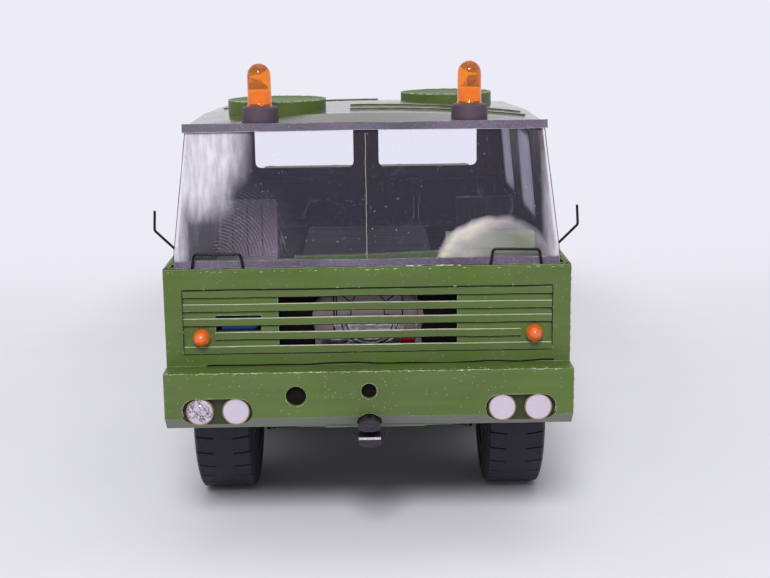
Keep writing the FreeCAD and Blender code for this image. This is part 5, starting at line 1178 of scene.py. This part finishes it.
class TRUCK_OT_cab(bpy.types.Operator):
    """Add the door handles, hinges, hatch lids, dials, steering wheel and seats."""

    bl_idname = "truck.cab"
    bl_label = "Cab details"

    def execute(self, context):
        self.door_furniture()
        self.hatches()
        self.steering()
        self.dials()
        self.seats()
        return {"FINISHED"}

    def door_furniture(self):
        fittings = Piece(GREEN, WIRE, BLACK)
        for out in (1, -1):
            wall = out * DOOR_HALF
            for start, end in ((19.0, 56.0), (60.0, 93.0)):
                back, front = FRONT_Y + end, FRONT_Y + start
                grip = [(wall, back - 6.6, 53.2), (wall + out * 0.8, back - 6.4, 53.2),
                        (wall + out * 0.8, back - 2.4, 53.2), (wall, back - 2.2, 53.2)]
                fittings.rod(rounded(grip, 0.3, 3), 0.45, 10, 1)
                for z in (44.5, 53.0):
                    fittings.turned(disc(-1.1, 1.1, 0.42), (wall + out * 0.15, front - 0.1, z), "Z", 14)
                    fittings.block((wall - out * 0.1, front + 0.2, z - 0.7),
                                   (wall + out * 0.22, front + 2.6, z + 0.7))
            step_y = FRONT_Y + 19.5
            fittings.block((wall, step_y - 12, 37.0), (wall - out * 4, step_y - 4, 37.6), 2)
            pane_low, pane_high = box("side_glazing")
            for start, end in ((30.0, 52.0), (71.0, 90.0)):
                bottom, top, cut = pane_low.z + 1.0, pane_high.z - 1.0, 1.7
                corners = [(start + cut, bottom), (end - cut, bottom), (end, bottom + cut), (end, top - cut),
                           (end - cut, top), (start + cut, top), (start, top - cut), (start, bottom + cut)]
                loop = [(out * (leaning_in(36.4, z) + 0.03), FRONT_Y + d, z) for d, z in corners]
                fittings.rod(loop + loop[:2], 0.42, 8, 2)
        fittings.finish("door_fittings", "green_card", bevel=0.05)

    def hatches(self):
        high = box("roof_hatches")[1]
        lids = Piece(GREEN, BARE_CARD_AND_HIGHLIGHT)
        for x, y, base, crown, seed in ((-18.0, FRONT_Y + 33.0, 83.0, high.z, 31),
                                        (18.0, FRONT_Y + 56.0, 82.6, high.z - 0.42, 32)):
            top = crown - base
            profile = [(-0.3, 0), (-0.3, 10.0), (top - 0.1, 10.0), (top, 9.85), (top, 9.2), (top - 0.06, 9.1),
                       (top - 0.06, 0)]
            lids.turned(profile, (x, y, base), "Z", 72)
            rim = [(x + 9.95 * cos(a), y + 9.95 * sin(a), crown) for a in turns(48) + [2 * pi]]
            chips(lids, rim, 130, 0.28, 1, seed, 0.05)
        lids.finish("hatch_lids", "green_card", "roof_hatches")
        self.roof_marks()

    def roof_marks(self):
        """Paint knocked off along the fold of the roof and its long edges."""
        low, high = box("cab_roof")
        marks = Piece(BARE_CARD_AND_HIGHLIGHT, INK_AND_SHADE)
        fold = low.z + 1.95
        chips(marks, [(-32.5, FRONT_Y + 20.0, fold), (32.5, FRONT_Y + 20.0, fold)], 90, 0.26, 0, 33, 0.08)
        for out in (1, -1):
            chips(marks, [(out * (high.x - 0.4), FRONT_Y + 14.0, low.z + 0.6),
                          (out * (high.x - 0.4), FRONT_Y + 48.0, low.z + 0.6)], 30, 0.24, 0, 34, 0.1)
        marks.finish("roof_marks", "green_card")

    def steering(self):
        low, high = box("steering_wheel")
        centre = Vector(((low.x + high.x) / 2, -117.6, 57.8))
        lean = Matrix.Rotation(radians(-40), 3, "X")
        wheel = Piece(BLACK)
        rim, thick = 5.9, 0.5
        wheel.skin([[centre + lean @ Vector(((rim + thick * cos(b)) * cos(a),
                                             (rim + thick * cos(b)) * sin(a), thick * sin(b)))
                     for b in turns(10)] for a in turns(48)], looped=True)
        for a in (pi / 2, pi / 2 + 2.1, pi / 2 - 2.1):
            end = centre + lean @ Vector((rim * cos(a), rim * sin(a), 0))
            wheel.rod([centre + lean @ Vector((0, 0, -0.3)), end], 0.6, 8)
        wheel.rod([centre + lean @ Vector((0, 0, 0.5)), centre + lean @ Vector((0, 0, -0.9))], 2.6, 20)
        wheel.rod([centre, centre + lean @ Vector((0, 0, -9.0))], 1.4, 14)
        wheel.finish("round_steering_wheel", "black_card", "steering_wheel")

    def dials(self):
        back = FRONT_Y + 15.5
        face = Piece(DIAL, INK_AND_SHADE, BLACK)
        for x, z, radius in ((18.4, 58.2, 1.3), (21.8, 58.4, 1.6), (25.8, 58.4, 1.6), (29.2, 58.2, 1.3)):
            face.turned([(-0.2, 0), (-0.2, radius + 0.2), (0.22, radius + 0.2), (0.24, radius), (0.1, radius)],
                        (x, back, z), "Y", 24, 2)
            face.turned(disc(0.0, 0.14, radius), (x, back, z), "Y", 24)
            face.rod([(x, back + 0.2, z), (x - radius * 0.5, back + 0.2, z + radius * 0.5)], 0.14, 6, 1)
        for k in range(5):
            face.turned([(0, 0), (0, 0.28), (0.6, 0.24), (0.7, 0)], (18.0 + 3 * k, back, 55.9), "Y", 10, 2)
        face.finish("blank_dials", "black_card")
        ledge = Piece(GREEN)
        ledge.skin([[(x, back - 5.6, 55.0), (x, back - 3.8, 55.0), (x, back - 3.8, z), (x, back - 5.6, z)]
                    for x, z in ((-14.0, 56.95), (2.0, 57.15), (15.5, 57.7), (33.0, 57.75))])
        ledge.finish("screen_ledge", "green_card")

    def seats(self):
        soft = Piece(SEAT, BLACK)
        for out in (1, -1):
            left, right = sorted((19.5 * out, 32.5 * out))
            start = FRONT_Y + 32.0
            cover = 1 if out > 0 else 0
            soft.block((left, start, 48.6), (right, start + 12.0, 51.0), cover)
            soft.block((left + 0.3, start, 44.0), (right - 0.3, start + 11.6, 48.7), 1)
            soft.block((left, start + 12.0, 48.0), (right, start + 14.4, 63.2), cover)
            for k in range(1, 4):
                x = left + (right - left) * k / 4
                soft.block((x - 0.12, start + 11.85, 50.5), (x + 0.12, start + 12.1, 62.6), 1)
        bench = FRONT_Y + 82.6
        soft.block((-33, bench, 48.6), (33, bench + 12.0, 51.0), 1)
        soft.block((-32.6, bench + 0.4, 44.0), (32.6, bench + 11.6, 48.7), 1)
        soft.block((-33, bench + 12.0, 48.6), (33, bench + 14.35, 61.0), 1)
        soft.finish("paper_seats", "seat_card", "seats", bevel=0.35, steps=2)


class TRUCK_OT_bed(bpy.types.Operator):
    """Lay the planks of the cargo bed, and add the rivets, rope hooks and ribs of its boards."""

    bl_idname = "truck.bed"
    bl_label = "Cargo bed"

    def execute(self, context):
        self.planks()
        self.board_fittings()
        return {"FINISHED"}

    def planks(self):
        low, high = box("bed_floor")
        count, gap = 9, 0.35
        width = (high.x - low.x) / count
        plank = Piece(GREEN)
        half = (high.y - low.y) / 2 - 0.1
        plank.block((gap / 2, -half, -0.25), (width - gap / 2, half, 0.16))
        row = {"Count": count, "Step": Vector((width * MM, 0, 0)), "Lean": Vector((0, 0.003, 0.0002))}
        plain = repeated("Plank row", plank.plain("plank", 0.08), row)
        floor = Piece(GREEN)
        floor.copy(plain, Matrix.Translation(Vector((low.x, (low.y + high.y) / 2, high.z)) * MM))
        for y in [low.y + along for along in (3.0, 24.0, 46.0, 68.0, 90.0, 112.0)] + [high.y - 3.0]:
            for share in (0.25, 0.75):
                start = (low.x + width * share, y, high.z + 0.16)
                rivet_row(floor, start, (width, 0, 0), count, 0.6, 0.12, "Z")
        floor.finish("floor_planks", "green_card")

    def board_fittings(self):
        """Rivets on the stake pockets, rope hooks between them and ribs on the headboard."""
        low, high = box("side_boards")
        front, end_high = box("end_boards")
        fittings = Piece(GREEN, WIRE, BLACK)
        pitch = (high.y - low.y - 2.2) / 6
        for out in (1, -1):
            for z in (low.z + 0.75, high.z - 0.75):
                rivet_row(fittings, (out * high.x, low.y + 1.1, z), (0, pitch, 0), 7, 0.6, 0.22 * out, "X")
            for k in range(6):
                y = low.y + 1.1 + pitch * (k + 0.5)
                wall = out * (high.x - 0.9)
                hook = [(wall - out * 0.2, y - 1.0, high.z - 0.8), (wall + out * 0.7, y - 0.9, high.z - 0.9),
                        (wall + out * 0.75, y + 0.9, high.z - 0.9), (wall - out * 0.2, y + 1.0, high.z - 0.8)]
                fittings.rod(rounded(hook, 0.3, 3), 0.36, 8, 1)
        for z in (low.z + 0.75, high.z - 0.75):
            rivet_row(fittings, (-37.0, end_high.y, z), (74.0 / 3, 0, 0), 4, 0.6, 0.22, "Y")
            rivet_row(fittings, (-37.0, front.y, z + 3), (74.0 / 3, 0, 0), 4, 0.6, -0.22, "Y")
        for z in (47.0, 50.4, 53.8):
            fittings.block((-35.5, front.y + 1.9, z), (35.5, front.y + 2.35, z + 1.5))
        fittings.block((-38.3, front.y + 0.75, end_high.z - 0.6), (38.3, front.y + 2.25, end_high.z + 0.15))
        fittings.finish("board_fittings", "green_card", bevel=0.06)


class TRUCK_OT_chassis(bpy.types.Operator):
    """Add the running gear, springs, tube flanges, tanks and their straps, air cleaner and rear lamps."""

    bl_idname = "truck.chassis"
    bl_label = "Chassis details"

    def execute(self, context):
        self.rear_lamps()
        self.tanks()
        self.stacks()
        self.rivets()
        self.running_gear()
        self.springs()
        self.backbone()
        self.air_tanks()
        return {"FINISHED"}

    def axle_places(self):
        """Where each axle stands along the truck, and the height of all of them."""
        corners = [box(f"tyre_{number}_left") for number in AXLES]
        return [(low.y + high.y) / 2 for low, high in corners], corners[0][1].z / 2

    def running_gear(self):
        """Bellows, brake chambers, bolted flanges and tie rods of the swinging half axles."""
        places, z = self.axle_places()
        gear = Piece(BLACK, STEEL)
        ring, cover = bolts(STEEL, 3.6, 8, 0.7), bolts(STEEL, 5.4, 10, 0.8)
        folds = [(6.0, 0)] + [(6.0 + 0.5 * k, 3.7 if k % 2 else 2.8) for k in range(12)] + [(11.5, 0)]
        for number, y in zip(AXLES, places):
            for out in (1, -1):
                gear.turned([(out * place, radius) for place, radius in folds], (0, y, z), "X", 24)
                set_on(gear, ring, (out * 21.1, y, z), "X", -out, 1)
                can = [(0, 0), (0, 1.9), (0.4, 2.3), (1.4, 2.3), (1.5, 2.6), (1.8, 2.6), (1.9, 2.3), (2.9, 2.0),
                       (3.1, 0)]
                gear.turned(can, (out * 16.6, y + 2.4, z + 1.2), "Y", 20)
                lid = [(0, 0), (0, 6.7), (out * 0.5, 6.7), (out * 0.7, 6.3), (out * 0.7, 0)]
                gear.turned(lid, (0, y + out * 6.9, z), "Y", 32)
                set_on(gear, cover, (0, y + out * 7.6, z), "Y", out, 1)
                if number < 3:
                    gear.rod([(out * 21.9, y - 2.5, z - 2.5), (out * 21.6, y - 8.6, 15.3)], 1.4, 10)
                    gear.turned(disc(-0.7, 0.7, 0.9), (out * 21.4, y - 8.4, 15.3), "Z", 14, 1)
            if number < 3:
                gear.rod([(-21.4, y - 8.4, 15.3), (21.4, y - 8.4, 15.3)], 1.1, 12)
        gear.finish("running_gear", "black_card")

    def springs(self):
        """Leaf springs between each pair of axles, clamped under the rails."""
        places, z = self.axle_places()
        leaves = Piece(BLACK, STEEL)
        for first, last in ((places[0], places[1]), (places[2], places[3])):
            middle, half = (first + last) / 2, (last - first) / 2
            for out in (1, -1):
                left, right = sorted((out * 16.0, out * 19.2))
                for k in range(5):
                    rings = []
                    for n in range(13):
                        share = (1 - 0.17 * k) * (-1 + n / 6)
                        base = z + 4.6 + 0.52 * k - 2.2 * share * share
                        y = middle + half * share
                        leaf = ((left, base), (right, base), (right, base + 0.4), (left, base + 0.4))
                        rings.append([(x, y, height) for x, height in leaf])
                    leaves.skin(rings)
                leaves.block((out * 14.4, middle - 2.2, z + 4.2), (out * 19.2, middle + 2.2, z + 8.6))
                for y in (middle - 3.2, middle + 3.2):
                    hoop = [(x, y, height) for x, height in ((left - 0.3, z + 7.4), (left - 0.3, z + 3.9),
                                                             (right + 0.3, z + 3.9), (right + 0.3, z + 7.4))]
                    leaves.rod(rounded(hoop, 0.4, 3), 0.5, 8, 1)
        leaves.finish("leaf_springs", "black_card")

    def backbone(self):
        """Bolted flanges where the lengths of the backbone tube meet, and its closed rear end."""
        places, z = self.axle_places()
        joints = Piece(BLACK, STEEL)
        ring = bolts(STEEL, 4.6, 8, 0.7)
        rear = box("backbone_tube")[1].y
        for y in ((places[0] + places[1]) / 2, places[1] + 12, (places[1] + places[2]) / 2,
                  places[2] - 12, (places[2] + places[3]) / 2, places[3] + 12, rear - 1.2):
            flange = disc(-1.0, -0.1, 5.2)[:3] + [(-0.1, 5.0), (0.1, 5.0)] + disc(0.1, 1.0, 5.2)[1:]
            joints.turned(flange, (0, y, z), "Y", 28)
            for out in (1, -1):
                set_on(joints, ring, (0, y + out, z), "Y", out, 1)
        joints.turned([(0, 0), (0, 3.0), (0.8, 2.4), (1.0, 0)], (0, rear - 0.3, z), "Y", 24)
        joints.finish("backbone_flanges", "black_card")

    def air_tanks(self):
        """Two air tanks strapped to the rails behind the last axle, stiffened mudflaps and a capped stack."""
        tanks = Piece(BLACK, STEEL)
        low, high = box("mudflaps")
        y = (high.y + box("rear_lamps")[0].y) / 2 - 4
        for out in (1, -1):
            shell = [(-10, 0), (-10, 1.6), (-9.5, 2.6), (-8.6, 3.1), (8.6, 3.1), (9.5, 2.6), (10, 1.6), (10, 0)]
            tanks.turned(shell, (out * 18.4, y, 30.9), "Y", 28)
            for shift in (-6.0, 6.0):
                tanks.turned(disc(-0.6, 0.6, 3.3), (out * 18.4, y + shift, 30.9), "Y", 28, 1)
                tanks.block((out * 14.6, y + shift - 0.6, 31.5), (out * 18.4, y + shift + 0.6, 34.4))
            for z in (low.z + 0.3, low.z + 9.0):
                tanks.block((out * (high.x - 11.0), high.y - 0.1, z), (out * high.x, high.y + 0.35, z + 1.1))
        stack = box("silencer")
        for lift in (3.0, 9.0, 15.0):
            tanks.turned(disc(0, 0.9, 3.75), (stack[0].x + 3.5, FILTER_Y, stack[0].z + lift), "Z", 32, 1)
        tanks.finish("air_tanks_and_bands", "black_card")

    def rear_lamps(self):
        low, high = box("rear_lamps")
        radius = (high.z - low.z) / 2
        z = (low.z + high.z) / 2
        lens = Piece(RED, BLACK)
        for out in (1, -1):
            for x in (24.0 * out, 29.0 * out):
                cup = [(0, 0), (0, radius), (0.5, radius), (0.55, radius - 0.2), (0.4, radius - 0.25)]
                drop = [(0.1, 0), (0.1, radius - 0.25)] + [(0.3 + a, r) for a, r in dome(radius - 0.25, 0.5)]
                for profile, paint in ((cup, 1), (drop, 0)):
                    lens.turned(profile, (x, low.y, z), "Y", 28, paint)
        lens.finish("rear_lenses", "red_card", "rear_lamps")

    def tanks(self):
        low, high = box("fuel_tank")
        straps = Piece(BLACK, GREEN, WIRE)
        inner, outer, corner, middle = 21.0, high.x, 2.5, 27
        for y in (low.y + 4.5, high.y - 4.5):
            outline = [(inner, low.z), (outer - corner, low.z), (outer, low.z + corner),
                       (outer, high.z - corner), (outer - corner, high.z), (inner, high.z)]
            lifted = [(x + (0.2 if x > inner else 0), z + (0.2 if z > middle else -0.2)) for x, z in outline]
            straps.skin([[(x, y + shift, z) for x, z in lifted] for shift in (-0.9, 0.9)])
        cap = [(0, 0), (0, 1.9), (0.9, 1.9), (1.1, 1.6), (1.1, 0)]
        straps.turned(cap, (outer - 6, (low.y + high.y) / 2, high.z - 0.1), "Z", 28, 1)
        straps.finish("tank_straps", "black_card", bevel=0.05)
        low, high = box("tool_box")
        lid = Piece(GREEN, WIRE)
        lid.block((low.x - 0.25, low.y - 0.2, high.z - 4.0), (-21.0, high.y + 0.2, high.z + 0.25))
        for y in (low.y + 4.5, high.y - 4.5):
            lid.block((low.x - 0.5, y - 0.9, high.z - 5.6), (low.x - 0.1, y + 0.9, high.z - 2.6), 1)
            knob = [(0, 0), (0, 0.45), (-0.4, 0.4), (-0.45, 0)]
            lid.turned(knob, (low.x - 0.45, y, high.z - 3.2), "X", 12, 1)
        lid.finish("tool_box_lid", "green_card", bevel=0.08)

    def stacks(self):
        high = box("air_cleaner")[1]
        drum = Piece(GREEN, BLACK)
        profile = [(0, 0), (0, 5.0), (0.6, 5.05)]
        for z in (4.0, 8.0, 12.0):
            profile += [(z, 5.05), (z + 0.15, 5.3), (z + 0.75, 5.3), (z + 0.9, 5.05)]
        profile += [(15.2, 5.05), (15.4, 5.7), (16.4, 5.7), (17.2, 5.2), (18.4, 2.0), (18.55, 0)]
        drum.turned(profile, (29.0, FILTER_Y, high.z - 18.55), "Z", 40)
        drum.finish("banded_air_cleaner", "green_card")

    def rivets(self):
        low = box("chassis_rails")[0]
        heads = Piece(BLACK)
        for out in (1, -1):
            for z in (29.2, 33.8):
                rivet_row(heads, (out * 15.0, low.y + 14, z), (0, 9.2, 0), 27, 0.7, 0.3 * out, "X")
        heads.finish("rail_rivets", "black_card")


class TRUCK_OT_stage(bpy.types.Operator):
    """Set the floor, the soft lights and the camera."""

    bl_idname = "truck.stage"
    bl_label = "Stage"

    def execute(self, context):
        stage = context.scene.truck_stage
        self.floor(stage)
        self.world(context.scene, stage)
        self.lights(stage)
        self.camera(context.scene, stage)
        context.scene.view_settings.view_transform = "Standard"
        return {"FINISHED"}

    def floor(self, stage):
        add, place = blank(CLOTH)
        weave = grain(add, place, 40)
        tone = add("MapRange", (weave, 0.3, 0.7, 0.985, 1.015))
        colour = add("Mix", {0: 1.0, 6: tuple(stage.floor), 7: tone}, out=2, data_type="RGBA",
                     blend_type="MULTIPLY")
        matt = add("BsdfDiffuse", {"Color": colour})
        # away from the truck the cloth fades into the background colour, so that no horizon shows
        radius = add("VectorMath", (place,), out="Value", operation="LENGTH")
        depth = add("SeparateXYZ", (place,), out="Y")
        wide = add("MapRange", (radius, 0.3, 0.6), interpolation_type="SMOOTHSTEP")
        behind = add("MapRange", (depth, -0.12, 0.24), interpolation_type="SMOOTHSTEP")
        oval = add("Mapping", {"Vector": place, "Scale": (13.3, 6.25, 1.0)})
        clear_of = add("VectorMath", (oval,), out="Value", operation="LENGTH")
        clear_of = add("MapRange", (clear_of, 1.0, 1.6), interpolation_type="SMOOTHSTEP")
        behind = add("Math", (behind, clear_of), operation="MULTIPLY")
        far = add("Math", (wide, behind), operation="MAXIMUM")
        hung = add("Emission", {"Color": tuple(stage.backdrop)})
        cloth = add("MixShader", (far, matt, hung))
        clear = add("BsdfTransparent")
        behind = add("NewGeometry", out="Backfacing")
        add("OutputMaterial", {"Surface": add("MixShader", (behind, cloth, clear))})
        bpy.ops.mesh.primitive_plane_add(size=12.0, location=(0, 0, 0))
        ground = bpy.context.object
        ground.name = "floor"
        ground.data.materials.append(bpy.data.materials[CLOTH])

    def world(self, scene, stage):
        scene.world = bpy.data.worlds.new("soft studio")
        scene.world.use_nodes = True
        tree = scene.world.node_tree
        tree.nodes.clear()
        add = partial(put, tree)
        path = add("LightPath", out=None)
        even = add("Background", {"Color": (1, 1, 1, 1), "Strength": stage.fill})
        seen = add("Background", {"Color": tuple(stage.backdrop), "Strength": 1.0})
        direct = add("Math", (path["Is Camera Ray"], path["Is Glossy Ray"]), operation="MAXIMUM")
        mixed = add("MixShader", (direct, even, seen))
        add("OutputWorld", {"Surface": mixed})

    def lights(self, stage):
        """A soft lamp above the camera, and a weak broad one overhead."""
        for name, place, size, power in (("key", (-0.06, -1.04, 0.86), 0.38, stage.key),
                                         ("overhead", (0.1, 0.1, 1.1), 0.9, stage.key * 0.14)):
            data = bpy.data.lights.new(name, "AREA")
            data.shape = "DISK"
            data.size = size
            data.energy = power
            lamp = bpy.data.objects.new(name, data)
            bpy.context.scene.collection.objects.link(lamp)
            lamp.location = place
            lamp.rotation_euler = (Vector((0, 0, 0.04)) - Vector(place)).to_track_quat("-Z", "Y").to_euler()

    def camera(self, scene, stage):
        data = bpy.data.cameras.new("camera")
        data.lens = stage.lens
        data.sensor_width = 36.0
        camera = bpy.data.objects.new("camera", data)
        scene.collection.objects.link(camera)
        turn = Matrix.Rotation(-stage.yaw, 4, "Z") @ Matrix.Rotation(pi / 2 - stage.pitch, 4, "X")
        turn = turn @ Matrix.Rotation(-stage.roll, 4, "Z")
        camera.matrix_world = Matrix.Translation((stage.aside, -stage.distance, stage.height)) @ turn
        scene.camera = camera


OPERATORS = (TRUCK_OT_paints, TRUCK_OT_wheels, TRUCK_OT_headlamps, TRUCK_OT_bumper, TRUCK_OT_beacons,
             TRUCK_OT_wires, TRUCK_OT_glazing, TRUCK_OT_grille, TRUCK_OT_engine, TRUCK_OT_cab, TRUCK_OT_bed,
             TRUCK_OT_chassis, TRUCK_OT_stage)
GROUPS = {"truck_paint": TruckPaint, "truck_lamps": TruckLamps, "truck_wheels": TruckWheels,
          "truck_grille": TruckGrille, "truck_stage": TruckStage}


class TRUCK_PT_panel(bpy.types.Panel):
    """Lists the steps that build the truck."""

    bl_idname = "TRUCK_PT_panel"
    bl_label = "Card model truck"
    bl_space_type = "VIEW_3D"
    bl_region_type = "UI"
    bl_category = "Truck"

    def draw(self, context):
        for operator in OPERATORS:
            self.layout.operator(operator.bl_idname)


def register():
    for group in GROUPS.values():
        bpy.utils.register_class(group)
    for name, group in GROUPS.items():
        setattr(bpy.types.Scene, name, bpy.props.PointerProperty(type=group))
    for operator in OPERATORS:
        bpy.utils.register_class(operator)
    bpy.utils.register_class(TRUCK_PT_panel)


def unregister():
    bpy.utils.unregister_class(TRUCK_PT_panel)
    for operator in reversed(OPERATORS):
        bpy.utils.unregister_class(operator)
    for name, group in GROUPS.items():
        delattr(bpy.types.Scene, name)
        bpy.utils.unregister_class(group)


def main():
    register()
    for operator in OPERATORS:
        group, name = operator.bl_idname.split(".")
        getattr(getattr(bpy.ops, group), name)()


if __name__ == "__main__":
    main()
